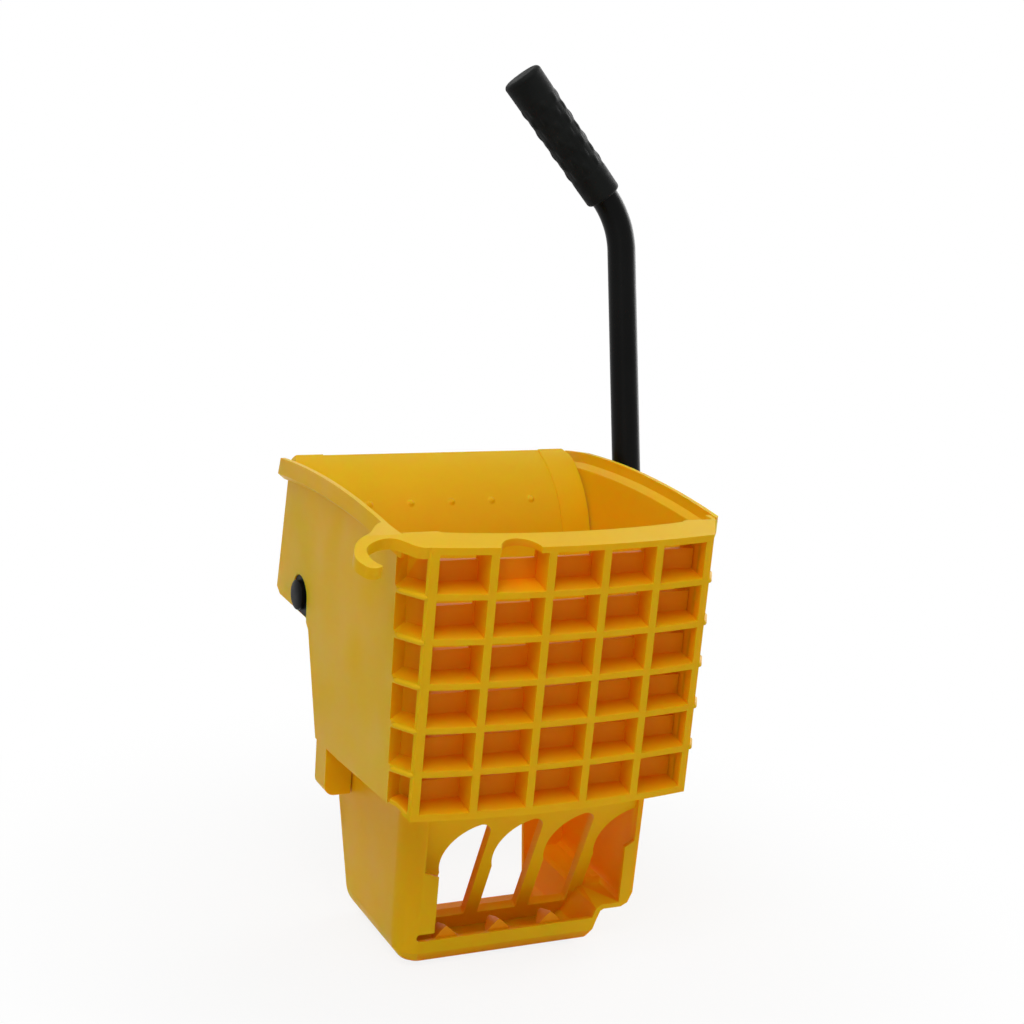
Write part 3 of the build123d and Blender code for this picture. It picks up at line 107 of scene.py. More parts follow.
RIM_WAY = np.array((0, 0.97, -0.24))

# The block between the front rim and the right rim: its plan, heights and the rim's slope
BLOCK_PLAN = np.array(((0.1340, -0.0578), (0.1392, -0.0500), (0.1392, -0.0440), (0.1325, -0.0440)))
BLOCK_FOOT = 0.357
BLOCK_EDGE = 0.3662
BLOCK_TOP = 0.3669
BLOCK_TOP_SIZE = 0.88
BLOCK_FRONT = -0.058
BLOCK_SLOPE = 0.07
BLOCK_AROUND = 40

# The ribs that close the corner cells below, and the webs beside these cells
RIB_START = -0.004
RIB_SHORT = 0.0005
RIB_SUNK = 0.0002
RIB_HALF_DEPTH = 0.008
RIB_CLIMB = 0.014
RIB_LEVELS = (0.1455, 0.154)
RIB_AROUND = 32
WEB_BEHIND = 0.0125
WEB_HALF_DEPTH = 0.0085
WEB_AROUND = 24

# The drain box, its grate and its sill's peaks; BOX_REAR is two lines, each a foot and a slope
BOX_TOP_X = 0.1065
BOX_DRAFT = 0.0113
BOX_TOP_Z = 0.154
BOX_FRONT = -0.0444
BOX_REAR = ((0.064, 0.4028), (0.0751, 0.2786))
BOX_WALL = 0.004
BOX_SKIN = 0.75 * BOX_WALL
BOX_TOE = 0.012
BOX_CUTS = np.radians((0, 9, 18, 27, 36))
GRATE_FOOT = np.array((0.0, -0.001, 0.018))
GRATE_IN = np.array((0.0, 0.9343, 0.3564))
GRATE_T = 0.008
GRATE_SKIN = 0.001
GRATE_BACK = 1.1 * GRATE_T
GRATE_THROUGH = 0.9 * GRATE_T
COLUMN_PITCH = 0.047
STRUT_FEET = COLUMN_PITCH * np.array((-0.6, 0.4, 1.4))
STRUT_NEAR = 0.0005
PEAK_Z = 0.019
PEAK_RUN = np.array((0.004, 0.026, 0))
PEAK_ROOT = 0.006
PEAK_BITE = 0.0005
PEAK_POINT = 1.8
PEAK_AROUND = 40

# Share of the painted shade, a deeper orange painted into the colour where shade and bounced light fall, inside
# the hopper, the drain box and its grate; in the hopper it grows downwards from the rim
HOPPER_PAINTED_SHADE = 0.05
HOPPER_SHADE_FADE = 0.12
BOX_PAINTED_SHADE = 0.9
GRATE_PAINTED_SHADE = 0.6

# The press plate's rolled top and its nubs
ROLL = np.array((0.0, 0.2257, 0.2699))
ROLL_R = 0.096
PLATE_LEAN = radians(22)
NUB_TURN = radians(-51.5)
NUB_PITCH = 0.038
NUB_SIDE = 2
NUB_R = 0.0045
NUB_LOW = 0.0008
NUB_HIGH = 0.0025

# The grip, the axle's cap and the lever's socket
BEND_ROWS = 24
GRIP_ROWS = 280
GRIP_END_ROWS = 8
NUB_SUNK = 0.35
CAP_ROWS = 12
CAP_DOME = 0.0029
CAP_FULL = 0.8
CAP_STEP = 0.0021
PLUG_LENGTH = 0.014
SOCKET_ROUND = 0.0012
SOCKET_CREASE = radians(40)

# The stage; each lamp has its place, its size and the setting that holds its power
FLOOR_GAP = 0.0006
FLOOR_HALF = 30.0
FLOOR_ROUGH = 0.9
FADE_NEAR = 0.15
FADE_FAR = 0.55
LAMPS = {"key_lamp": ((-0.6, -0.6, 2.2), 1.6, "key_power"),
         "fill_lamp": ((-1.6, -1.9, 0.9), 1.4, "fill_power"),
         "back_lamp": ((1.8, 0.9, 0.9), 1.6, "back_power")}
LAMP_TARGET = (0, 0.05, 0.28)

# Noise's usual range, the part of it over which two colours blend, and how far red, green and
# blue light travel in the plastic, as shares of its glow depth
NOISE_RANGE = (0.3, 0.7)
BLEND_RANGE = (0.32, 0.68)
GLOW_SPREAD = (1.0, 0.16, 0.01)

# One layer of bumps: features per metre, detail, strength and height in metres
Grain = namedtuple("Grain", "scale detail strength height")


class WringerPlastic(PropertyGroup):
    """The yellow moulded pieces."""
    colour: FloatVectorProperty(
        name="Colour", description="Colour of the moulded plastic", subtype="COLOR", size=3, min=0,
        max=1, default=(0.95, 0.572, 0.006))
    flow_colour: FloatVectorProperty(
        name="Flow colour", description="Colour of the faint flow marks", subtype="COLOR", size=3,
        min=0, max=1, default=(0.93, 0.535, 0.004))
    # Painted shade: the deeper orange painted into the drip cells, the hopper and the drain box
    painted_shade_colour: FloatVectorProperty(
        name="Recess colour", description="Deeper colour down in the recesses", subtype="COLOR",
        size=3, min=0, max=1, default=(0.95, 0.33, 0.001))
    # How soon that painted shade comes in
    painted_shade_power: FloatProperty(
        name="Recess power", description="Below 1 the deeper colour starts sooner", default=0.45,
        min=0.1, max=2)
    edge_round: FloatProperty(
        name="Edge round", description="Radius of the moulded edges", unit="LENGTH", default=0.0014,
        min=0)
    crease: FloatProperty(
        name="Crease", description="Edges sharper than this are rounded", subtype="ANGLE",
        default=radians(32))
    glow: FloatProperty(
        name="Glow", description="Share of the light that passes through the plastic",
        subtype="FACTOR", default=0.8, min=0, max=1)
    glow_depth: FloatProperty(
        name="Glow depth", description="How far light travels in the plastic", unit="LENGTH",
        default=0.007)


class WringerShape(PropertyGroup):
    """Fine shapes of the mouldings."""
    box_round: FloatProperty(
        name="Box corner", description="Radius of the drain box's front left corner", unit="LENGTH",
        default=0.020)
    foot_round: FloatProperty(
        name="Strut foot", description="Radius at the foot of the grate's struts", unit="LENGTH",
        default=0.009)
    peak_shift: FloatProperty(
        name="Peak shift", description="How far the sill's peaks sit off the columns",
        unit="LENGTH", default=-0.016)
    peak_rise: FloatProperty(
        name="Peak rise", description="How far the sill's peaks rise", unit="LENGTH",
        default=0.0125)
    peak_width: FloatProperty(
        name="Peak width", description="Width of the sill's peaks", unit="LENGTH", default=0.024)
    slot_drop: FloatProperty(
        name="Slot drop", description="How far the drip slots reach lower", unit="LENGTH",
        default=0.0077)
    rim_reach: FloatProperty(
        name="Rim reach", description="Extra length of the right rim at the rear", unit="LENGTH",
        default=0.018)
    nub_top: FloatProperty(
        name="Nub top", description="Width of a nub's top as a share of its foot",
        subtype="FACTOR", default=0.4, min=0.1, max=1)
    rib_height: FloatProperty(
        name="Corner rib", description="Height of the rib under each corner cell", unit="LENGTH",
        default=0.0045)
    bar_rise: FloatProperty(
        name="Corner bar", description="How far the level ribs stand out at the corners",
        unit="LENGTH", default=0.0021)
    web: FloatProperty(
        name="Corner web", description="Thickness of the web beside the corner cells",
        unit="LENGTH", default=0.0014)


class WringerLever(PropertyGroup):
    """The bent lever tube."""
    tube_radius: FloatProperty(
        name="Tube radius", description="Outside radius of the lever tube", unit="LENGTH",
        default=0.0127)
    offset: FloatProperty(
        name="Offset", description="Distance of the lever from the middle of the wringer",
        unit="LENGTH", default=0.182)
    lean: FloatProperty(
        name="Lean", description="How far the lever leans back at rest", subtype="ANGLE",
        default=radians(14.65))
    foot: FloatProperty(
        name="Foot", description="Distance from the axle to the tube's lower end", unit="LENGTH",
        default=0.024)
    corner: FloatProperty(
        name="Corner", description="Distance from the axle to the bend's corner", unit="LENGTH",
        default=0.321)
    bend: FloatProperty(
        name="Bend", description="Angle between lever and grip", subtype="ANGLE",
        default=radians(38))
    bend_radius: FloatProperty(
        name="Bend radius", description="Radius of the bend", unit="LENGTH", default=0.078)
    tip: FloatProperty(
        name="Tip", description="Distance from the corner to the tube's upper end", unit="LENGTH",
        default=0.151)


class WringerGrip(PropertyGroup):
    """The rubber sleeve on the lever."""
    start: FloatProperty(
        name="Start", description="Distance from the corner to the grip's lower end", unit="LENGTH",
        default=0.027)
    end: FloatProperty(
        name="End", description="Distance from the corner to the grip's upper end", unit="LENGTH",
        default=0.1586)
    low_radius: FloatProperty(
        name="Lower radius", description="Radius at the lower end", unit="LENGTH", default=0.0166)
    top_radius: FloatProperty(
        name="Upper radius", description="Radius at the upper end", unit="LENGTH", default=0.0184)
    collar: FloatProperty(
        name="Collar", description="Length of each smooth end", unit="LENGTH", default=0.024)
    nub_height: FloatProperty(
        name="Nub height", description="Height of the nubs", unit="LENGTH", default=0.0009)
    nub_pitch: FloatProperty(
        name="Nub pitch", description="Distance between rows of nubs", unit="LENGTH",
        default=0.0225)
    nubs_round: IntProperty(
        name="Nubs round", description="Nubs in one row round the grip", default=8)
    end_round: FloatProperty(
        name="End round", description="Radius of the upper end's edge", unit="LENGTH",
        default=0.004)
    foot_step: FloatProperty(
        name="Foot step", description="How far the lower edge is drawn in", unit="LENGTH",
        default=0.003)


class WringerStage(PropertyGroup):
    """Floor, lamps and camera."""
    floor_colour: FloatVectorProperty(
        name="Floor", description="Colour of the floor", subtype="COLOR", size=3, min=0, max=1,
        default=(0.93, 0.93, 0.93))
    floor_lift: FloatProperty(
        name="Floor lift", description="Share of plain white in the floor under the wringer",
        subtype="FACTOR", default=0.86, min=0, max=1)
    world_level: FloatProperty(
        name="World light", description="Brightness of the light from all round", default=0.285)
    key_power: FloatProperty(
        name="Key lamp", description="Power of the lamp above", unit="POWER", default=20.5)
    fill_power: FloatProperty(
        name="Fill lamp", description="Power of the lamp at the front", unit="POWER", default=1.5)
    back_power: FloatProperty(
        name="Back lamp", description="Power of the lamp behind on the right", unit="POWER",
        default=22.0)
    azimuth: FloatProperty(
        name="Azimuth", description="Direction of the camera", subtype="ANGLE", default=radians(27))
    elevation: FloatProperty(
        name="Elevation", description="How far the camera looks down", subtype="ANGLE",
        default=radians(15))
    roll: FloatProperty(
        name="Roll", description="How far the camera is turned about its axis", subtype="ANGLE",
        default=radians(5.25))
    place: FloatVectorProperty(
        name="Camera place", description="Where the camera stands", unit="LENGTH", size=3,
        default=(-0.705, -1.349, 0.7691))
    lens: FloatProperty(
        name="Lens", description="Focal length of the camera in millimetres", unit="CAMERA",
        default=70.03)


def link_piece(mesh, name, node, material, stands_in=True):
    """Puts a finished mesh on a CAD node's body, in place of that node or beside it."""
    piece = bpy.data.objects.new(name, mesh)
    bpy.context.scene.collection.objects.link(piece)
    mesh.materials.clear()
    mesh.materials.append(material)
    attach(piece, BODY_OF[node])
    if stands_in:
        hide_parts(node)
    return piece


@contextmanager
def edited(mesh):
    """A bmesh of the mesh to work on, put back into it at the end."""
    work = bmesh.new()
    work.from_mesh(mesh)
    yield work
    work.to_mesh(mesh)
    work.free()


def merge_doubles(work):
    """Joins the points that lie on each other."""
    bmesh.ops.remove_doubles(work, verts=work.verts, dist=MERGE)


def smooth_faces(mesh):
    """Shades every face smooth."""
    mesh.polygons.foreach_set("use_smooth", np.ones(len(mesh.polygons), bool))


def full_turn(count):
    """Even angles once round."""
    return np.linspace(0, 2 * pi, count, endpoint=False)


def shaped(wave, power):
    """A wave from -1 to 1, squarer with a power below 1 and more pointed with one above it."""
    return np.sign(wave) * np.abs(wave) ** power


def carried(profile, centres, size):
    """A profile carried along a path: each ring is its centre plus its size times the profile."""
    return centres[..., None, :] + np.array(size)[:, None, None] * profile


def rings_round(centres, across, over, radii):
    """Rings about a line: a centre plus radius times (cos turn across plus sin turn over)."""
    turn = full_turn(radii.shape[1])[:, None]
    spokes = np.cos(turn) * across[..., None, :] + np.sin(turn) * over[..., None, :]
    return centres[:, None, :] + radii[:, :, None] * spokes


def grid_mesh(name, points):
    """Closed surfaces from rings, (..., rings, around, 3), whose first and last rings are poles."""
    rings, around = points.shape[-3:-1]
    count = points.size // (3 * rings * around)
    steps = (np.arange(count), np.arange(rings - 1), np.arange(around))
    surface, row, column = np.meshgrid(*steps, indexing="ij")
    here = (surface * rings + row) * around
    after = (column + 1) % around
    above = here + around
    quads = np.stack((here + column, here + after, above + after, above + column), axis=-1)
    mesh = bpy.data.meshes.new(name)
    mesh.from_pydata(points.reshape(-1, 3).tolist(), [], quads.reshape(-1, 4).tolist())
    with edited(mesh) as work:
        merge_doubles(work)
        bmesh.ops.recalc_face_normals(work, faces=work.faces)
    smooth_faces(mesh)
    mesh.set_sharp_from_angle(angle=SHARP)
    return mesh


def merged_copy(node, name, planes=()):
    """A merged copy of a CAD node's mesh, cut along planes given as (point, normal)."""
    mesh = NODES[node].data.copy()
    mesh.name = name
    with edited(mesh) as work:
        merge_doubles(work)
        for point, normal in planes:
            everything = work.verts[:] + work.edges[:] + work.faces[:]
            bmesh.ops.bisect_plane(
                work, geom=everything, dist=MERGE, plane_co=point, plane_no=normal)
    # Painted shade by where each point sits, kept for the colour
    store_painted_shade(mesh)
    return mesh


def points_of(mesh):
    """The mesh's points as one array."""
    points = np.empty(3 * len(mesh.vertices), np.float32)
    mesh.vertices.foreach_get("co", points)
    return points.reshape(-1, 3).astype(float)


def move_points(mesh, points):
    """Puts changed points back into the mesh."""
    mesh.vertices.foreach_set("co", points.astype(np.float32).ravel())
    mesh.update()


def half_width(z):
    """Half the hopper's outer width at a height."""
    return SIDE_X - (SIDE_Z - z) * SIDE_DRAFT


def box_half_width(z):
    """Half the drain box's outer width at a height."""
    return BOX_TOP_X - (BOX_TOP_Z - z) * BOX_DRAFT


def cell_depth(points):
    """Depth behind the front wall's face, an arch between the ribs that slants at the corners."""
    across = np.abs(points[:, 0])
    arch = np.clip(1 - (across / RIB_X) ** 2, 0, None)
    return points[:, 1] - FRONT_Y + BOW * arch - CORNER_RUN * np.clip(across - RIB_X, 0, None)


def recess(points):
    """How much painted shade a point gets: 0 outside and up to 1 inside, by depth in the drip cells, below the rim
    and in the grate.
    """
    across, back, height = np.abs(points[:, 0]), points[:, 1], points[:, 2]
    depth = cell_depth(points)
    within = across < half_width(height) - SIDE_SKIN
    in_grid = (height > GRID_Z) & (height - depth * CELL_SLOPE < GRID_TOP)
    cell = np.where(within & in_grid & (depth < CELL_BACK), np.clip(depth / CELL_DEPTH, 0, 1), 0)
    in_hopper = within & (depth > CELL_BACK) & (height > SHELF_Z)
    hopper = np.where(in_hopper, HOPPER_PAINTED_SHADE * np.clip((SIDE_Z - height) / HOPPER_SHADE_FADE, 0, 1), 0)
    rear = np.min([foot + slope * height for foot, slope in BOX_REAR], axis=0)
    in_box = (across < box_half_width(height) - BOX_SKIN) & (height > BOX_SKIN) & (height < SHELF_Z)
    in_box &= (back > BOX_FRONT + BOX_SKIN) & (back < rear - BOX_SKIN)
    behind = (points - GRATE_FOOT) @ GRATE_IN
    on_grate = (behind > -GRATE_SKIN) & (behind < GRATE_BACK)
    grate = GRATE_PAINTED_SHADE * np.clip(behind / GRATE_T, 0, 1)
    box = np.where(in_box, np.where(on_grate, grate, BOX_PAINTED_SHADE), 0)
    return np.maximum(np.maximum(cell, hopper), box)


def store_painted_shade(mesh):
    """Keeps each point's painted shade as an attribute, which blends the plastic's colour towards a deeper orange.
    """
    values = recess(points_of(mesh)).astype(np.float32)
    mesh.attributes.new("recess", "FLOAT", "POINT").data.foreach_set("value", values)


def add_bevel(piece, name, width, segments):
    """A Bevel modifier."""
    bevel = piece.modifiers.new(name, "BEVEL")
    bevel.width = width
    bevel.segments = segments
    return bevel


def rounded_piece(mesh, name, node, material, radius, crease, wide=None):
    """A moulding from a merged mesh: flat faces joined, sharp edges rounded, chosen ones wider."""
    with edited(mesh) as work:
        bmesh.ops.dissolve_limit(work, angle_limit=FLAT, verts=work.verts, edges=work.edges)
    smooth_faces(mesh)
    piece = link_piece(mesh, name, node, material)
    if wide:
        width, chosen = wide
        ends = np.empty(2 * len(mesh.edges), np.int32)
        mesh.edges.foreach_get("vertices", ends)
        first, second = points_of(mesh)[ends.reshape(-1, 2).T]
        weights = mesh.attributes.new("bevel_weight_edge", "FLOAT", "EDGE")
        weights.data.foreach_set("value", chosen(first, second).astype(np.float32))
        add_bevel(piece, "wide rounds", width, WIDE_STEPS).limit_method = "WEIGHT"
    bevel = add_bevel(piece, "rounded edges", radius, EDGE_STEPS)
    bevel.limit_method = "ANGLE"
    bevel.angle_limit = crease
    flat = piece.modifiers.new("flat faces", "WEIGHTED_NORMAL")
    flat.mode = "FACE_AREA"
    flat.weight = FLAT_WEIGHT
    return piece


def box_mesh(shape):
    """The drain box with a round edge about its left end, down the front and along the bottom.

    Near that edge, each square shell about the rounding's axis becomes a round shell of its reach.
    """
    radius = shape.box_round
    steps = radius * (1 - np.tan(BOX_CUTS))
    planes = [((0, BOX_FRONT + step, 0), (0, 1, 0)) for step in steps]
    planes += [((0, 0, step), (0, 0, 1)) for step in steps]
    planes += [((step - BOX_TOP_X, 0, BOX_TOP_Z), (1, 0, BOX_DRAFT)) for step in steps]
    mesh = merged_copy("drain_box", "drain_box_shell", planes)
    points = points_of(mesh)
    y, z = points[:, 1], points[:, 2]
    beside = points[:, 0] + box_half_width(z)
    from_toe = np.stack((y - BOX_FRONT - BOX_TOE, z - BOX_TOE), axis=1)
    in_toe = (from_toe < 0).all(axis=1)
    length = np.maximum(np.hypot(*from_toe.T), MERGE)
    deep = np.where(in_toe, BOX_TOE - length, np.minimum(y - BOX_FRONT, z))
    at_front = (y - BOX_FRONT < z)[:, None]
    straight = np.where(at_front, (1.0, 0.0), (0.0, 1.0))
    inward = np.where(in_toe[:, None], -from_toe / length[:, None], straight)
    reach = radius - np.stack((beside, deep), axis=1)
    near = (reach > 0).all(axis=1) & (z < SHELF_Z + MERGE)
    drawn_in = 1 - reach.max(axis=1) / np.maximum(np.hypot(*reach.T), MERGE)
    moved = reach * drawn_in[:, None]
    points[near, 0] += moved[near, 0]
    points[near, 1:] += (moved[:, 1:] * inward)[near]
    move_points(mesh, points)
    return mesh


def sill_peak(shape, column):
    """A peak behind the sill: a diamond section that shrinks along its way to the grate."""
    turn = full_turn(PEAK_AROUND)
    rise = np.where(np.sin(turn) > 0, shape.peak_rise, PEAK_ROOT)
    wide = shape.peak_width / 2 * shaped(np.cos(turn), PEAK_POINT)
    profile = np.stack((wide, np.zeros_like(turn), rise * shaped(np.sin(turn), PEAK_POINT)), axis=1)
    share = np.array((0, 0, 0.3, 0.6, 0.9, 1, 1))
    size = (0, 1, 0.8, 0.55, 0.3, 0.2, 0)
    start = (COLUMN_PITCH * column + shape.peak_shift, BOX_FRONT + BOX_WALL - PEAK_BITE, PEAK_Z)
    return carried(profile, start + share[:, None] * PEAK_RUN, size)


def strut_feet(first, second):
    """1 for the edges through the grate at the lower right corner of each of its gaps."""
    through = np.abs((second - first) @ GRATE_IN) > GRATE_THROUGH
    foot = GRATE_FOOT + GRATE_IN * GRATE_T / 2
    low = np.abs(((first + second) / 2 - foot)[:, 1:]).max(axis=1) < GRATE_SKIN
    at_strut = np.abs(first[:, 0, None] - STRUT_FEET).min(axis=1) < STRUT_NEAR
    return through & low & at_strut


def hopper_mesh(shape):
    """The hopper with taller drip slots and a right rim carried further back along its arch."""
    mesh = merged_copy("hopper_body", "hopper_shell")
    points = points_of(mesh)
    on_rim = (points[:, 0] > SIDE_X - RIM_NEAR) & (points[:, 2] > SIDE_Z - RIM_NEAR)
    points[on_rim & (points[:, 1] > RIM_REAR)] += shape.rim_reach * RIM_WAY
    depth = cell_depth(points)
    above = (points[:, 2] - GRID_Z) % ROW_PITCH - ROW_PITCH / 2
    at_slot = (depth > SLOT_FRONT) & (depth < SLOT_BACK) & (np.abs(points[:, 0]) < RIB_X)
    sill = at_slot & (np.abs(above - SLOT_LOW) < SLOT_NEAR) & (points[:, 2] > GRID_Z)
    points[sill, 2] -= shape.slot_drop
    move_points(mesh, points)
    return mesh


def plate_mesh(shape):
    """The press plate with its nubs drawn in to low cones: a row on the roll, two on the flat."""
    mesh = merged_copy("press_plate", "press_plate_shell")
    points = points_of(mesh)
    flat_turn = PLATE_LEAN - pi / 2
    roll_run = ROLL_R * (NUB_TURN - flat_turn)
    down = -np.array((0, sin(PLATE_LEAN), cos(PLATE_LEAN)))
    rows = ((NUB_TURN, 0), (flat_turn, NUB_PITCH - roll_run), (flat_turn, 2 * NUB_PITCH - roll_run))
    for turn, drop in rows:
        facing = np.array((0, sin(turn), cos(turn)))
        offset = points - ROLL - ROLL_R * facing - drop * down
        column = np.clip(np.round(offset[:, 0] / NUB_PITCH), -NUB_SIDE, NUB_SIDE)
        offset[:, 0] -= NUB_PITCH * column
        high = offset @ facing
        aside = offset - high[:, None] * facing
        top = (np.linalg.norm(aside, axis=1) < NUB_R) & (high > NUB_LOW) & (high < NUB_HIGH)
        points[top] -= (1 - shape.nub_top) * aside[top]
    move_points(mesh, points)
    return mesh


def corner_rib(shape, side):
    """The rib that closes a corner cell below: a rounded bar from front rib to side wall."""
    share = np.array((0, 0, 0.35, 0.7, 0.8, 1, 1))
    size = (0, 1, 1, 1, 1, 1, 0)
    out = RIB_START + share * (half_width(SHELF_Z) - RIB_X - RIB_SHORT - RIB_START)
    path_y = FRONT_Y + CORNER_RUN * np.clip(out, 0, None) + RIB_SUNK
    path_z = np.interp(path_y, (FRONT_Y, FRONT_Y + RIB_CLIMB), RIB_LEVELS)
    inward = np.array((-side * CORNER_RUN, 1, 0)) / CORNER_SLANT
    face = np.stack((side * (RIB_X + out), path_y, path_z + shape.rib_height / 2), axis=1)
    turn = full_turn(RIB_AROUND)
    wide = RIB_HALF_DEPTH * shaped(np.cos(turn), power=0.25)
    high = shape.rib_height / 2 * shaped(np.sin(turn), power=0.5)
    profile = wide[:, None] * inward + high[:, None] * UP
    return carried(profile, face + RIB_HALF_DEPTH * inward, size)


def corner_bars(shape, side):
    """The level ribs across a slanted corner: oval bars that taper to points at both ends."""
    levels = GRID_Z + ROW_PITCH * np.arange(1, GRID_ROWS)
    share = np.array((0, 0.04, 0.15, 0.5, 0.85, 0.96, 1))
    size = (0, 0.6, 1, 1, 1, 0.6, 0)
    out = share * (half_width(levels) - RIB_X)[:, None]
    level = np.broadcast_to(levels[:, None], out.shape)
    centres = np.stack((side * (RIB_X + out), FRONT_Y + CORNER_RUN * out, level), axis=2)
    outward = np.array((side * CORNER_RUN, -1, 0)) / CORNER_SLANT
    turn = full_turn(RIB_AROUND)[:, None]
    profile = shape.bar_rise * np.cos(turn) * outward + shape.rib_height / 2 * np.sin(turn) * UP
    return carried(profile, centres, size)


def rim_corner():
    """The block between the front rim and the right rim: a stacked outline, sloped like the rim."""
    closed = np.vstack((BLOCK_PLAN, BLOCK_PLAN[:1]))
    turn = np.linspace(0, len(BLOCK_PLAN), BLOCK_AROUND, endpoint=False)
    corners = np.arange(len(closed))
    plan = np.stack([np.interp(turn, corners, values) for values in closed.T], axis=1)
    middle = BLOCK_PLAN.mean(axis=0)
    size = (0, 1, 1, BLOCK_TOP_SIZE, 0)
    points = carried(plan - middle, np.tile(middle, (len(size), 1)), size)
    level = np.array((BLOCK_FOOT, BLOCK_FOOT, BLOCK_EDGE, BLOCK_TOP, BLOCK_TOP))[:, None]
    height = level + BLOCK_SLOPE * (points[..., 1] - BLOCK_FRONT)
    return np.concatenate((points, height[..., None]), axis=2)


def corner_web(shape, side):
    """The web beside a corner cell: a thin upright bar that leans with the cell's wall."""
    levels = np.array((GRID_Z, GRID_Z, GRID_TOP, GRID_TOP))
    centres = np.array((side * CELL_X, FRONT_Y + WEB_BEHIND, 0)) + levels[:, None] * UP
    turn = full_turn(WEB_AROUND)
    wide = shape.web / 2 * shaped(np.cos(turn), power=0.3)
    deep = WEB_HALF_DEPTH * shaped(np.sin(turn), power=0.3)
    profile = np.stack((wide - side * CELL_LEAN * deep, deep, np.zeros_like(turn)), axis=1)
    return carried(profile, centres, (0, 1, 1, 0))


def lever_frame(lever):
    """Up the lever, across it to the right and back, at rest, as unit vectors."""
    up = np.array((0, sin(lever.lean), cos(lever.lean)))
    right = np.array((1.0, 0, 0))
    back = np.array((0, cos(lever.lean), -sin(lever.lean)))
    return up, right, back


def empty_material(name):
    """A node material with nothing in it but its output and one plain shader."""
    material = bpy.data.materials.new(name)
    material.use_nodes = True
    tree = material.node_tree
    tree.nodes.clear()
    output = tree.nodes.new("ShaderNodeOutputMaterial")
    shader = tree.nodes.new("ShaderNodeBsdfPrincipled")
    tree.links.new(shader.outputs["BSDF"], output.inputs["Surface"])
    return material, tree, shader


def noise(tree, scale, detail):
    """Noise on the object's own coordinates, in features per metre."""
    place = tree.nodes.new("ShaderNodeTexCoord")
    texture = tree.nodes.new("ShaderNodeTexNoise")
    texture.inputs["Scale"].default_value = scale
    texture.inputs["Detail"].default_value = detail
    tree.links.new(place.outputs["Object"], texture.inputs["Vector"])
    return texture.outputs["Fac"]


def spread(tree, value, low, high):
    """Maps noise from its usual range onto another."""
    node = tree.nodes.new("ShaderNodeMapRange")
    node.inputs["From Min"].default_value, node.inputs["From Max"].default_value = NOISE_RANGE
    node.inputs["To Min"].default_value = low
    node.inputs["To Max"].default_value = high
    tree.links.new(value, node.inputs["Value"])
    return node.outputs["Result"]


def two_colours(tree, value, first, second):
    """A blend of two colours by a noise value."""
    ramp = tree.nodes.new("ShaderNodeValToRGB")
    for stop, place, colour in zip(ramp.color_ramp.elements, BLEND_RANGE, (first, second)):
        stop.position = place
        stop.color = (*colour, 1)
    tree.links.new(value, ramp.inputs["Fac"])
    return ramp.outputs["Color"]


def grain(tree, shader, layers):
    """Layers of bumps laid over each other."""
    normal = None
    for layer in layers:
        bump = tree.nodes.new("ShaderNodeBump")
        bump.inputs["Strength"].default_value = layer.strength
        bump.inputs["Distance"].default_value = layer.height
        tree.links.new(noise(tree, layer.scale, layer.detail), bump.inputs["Height"])
        if normal:
            tree.links.new(normal, bump.inputs["Normal"])
        normal = bump.outputs["Normal"]
    tree.links.new(normal, shader.inputs["Normal"])


def finish_material(name, first, second, patches, rough, layers, metallic=0.0, specular=0.5):
    """One finish: two close colours in patches, a range of roughness and layers of grain."""
    material, tree, shader = empty_material(name)
    colour = two_colours(tree, noise(tree, patches, detail=4), first, second)
    roughness = spread(tree, noise(tree, patches * 4, detail=5), *rough)
    tree.links.new(colour, shader.inputs["Base Color"])
    tree.links.new(roughness, shader.inputs["Roughness"])
    shader.inputs["Metallic"].default_value = metallic
    shader.inputs["Specular IOR Level"].default_value = specular
    grain(tree, shader, layers)
    return material, shader


def yellow_plastic(name, glow):
    """Moulded plastic with faint flow marks and a satin grain, and painted shade: a deeper orange blended in by
    the painted shade attribute; thin pieces have no glow.
    """
    plastic = bpy.context.scene.wringer_plastic
    flow = Grain(scale=18, detail=2, strength=0.12, height=0.004)
    satin = Grain(scale=900, detail=3, strength=0.12, height=0.0003)
    material, shader = finish_material(
        name, first=tuple(plastic.flow_colour), second=tuple(plastic.colour), patches=7.0,
        rough=(0.36, 0.5), layers=(flow, satin), specular=0.12)
    tree = material.node_tree
    # Painted shade: the stored attribute, raised to a power, blends the colour towards the deeper orange in the
    # hollows
    depth = tree.nodes.new("ShaderNodeAttribute")
    depth.attribute_name = "recess"
    painted_shade_onset = tree.nodes.new("ShaderNodeMath")
    painted_shade_onset.operation = "POWER"
    painted_shade_onset.inputs[1].default_value = plastic.painted_shade_power
    painted_shade_blend = tree.nodes.new("ShaderNodeMixRGB")
    plain = shader.inputs["Base Color"].links[0].from_socket
    tree.links.new(depth.outputs["Fac"], painted_shade_onset.inputs[0])
    tree.links.new(painted_shade_onset.outputs[0], painted_shade_blend.inputs["Fac"])
    tree.links.new(plain, painted_shade_blend.inputs["Color1"])
    painted_shade_blend.inputs["Color2"].default_value = (*plastic.painted_shade_colour, 1)
    tree.links.new(painted_shade_blend.outputs["Color"], shader.inputs["Base Color"])
    shader.inputs["Subsurface Weight"].default_value = glow
    shader.inputs["Subsurface Radius"].default_value = GLOW_SPREAD
    shader.inputs["Subsurface Scale"].default_value = plastic.glow_depth
    return material


def black_paint():
    """Black powder coat on steel, with its orange peel."""
    peel = Grain(scale=420, detail=2, strength=0.15, height=0.0004)
    return finish_material(
        "black_powder_coat", first=(0.003, 0.0032, 0.0031), second=(0.005, 0.0053, 0.0052),
        patches=20.0, rough=(0.26, 0.36), layers=(peel,), specular=0.07)[0]


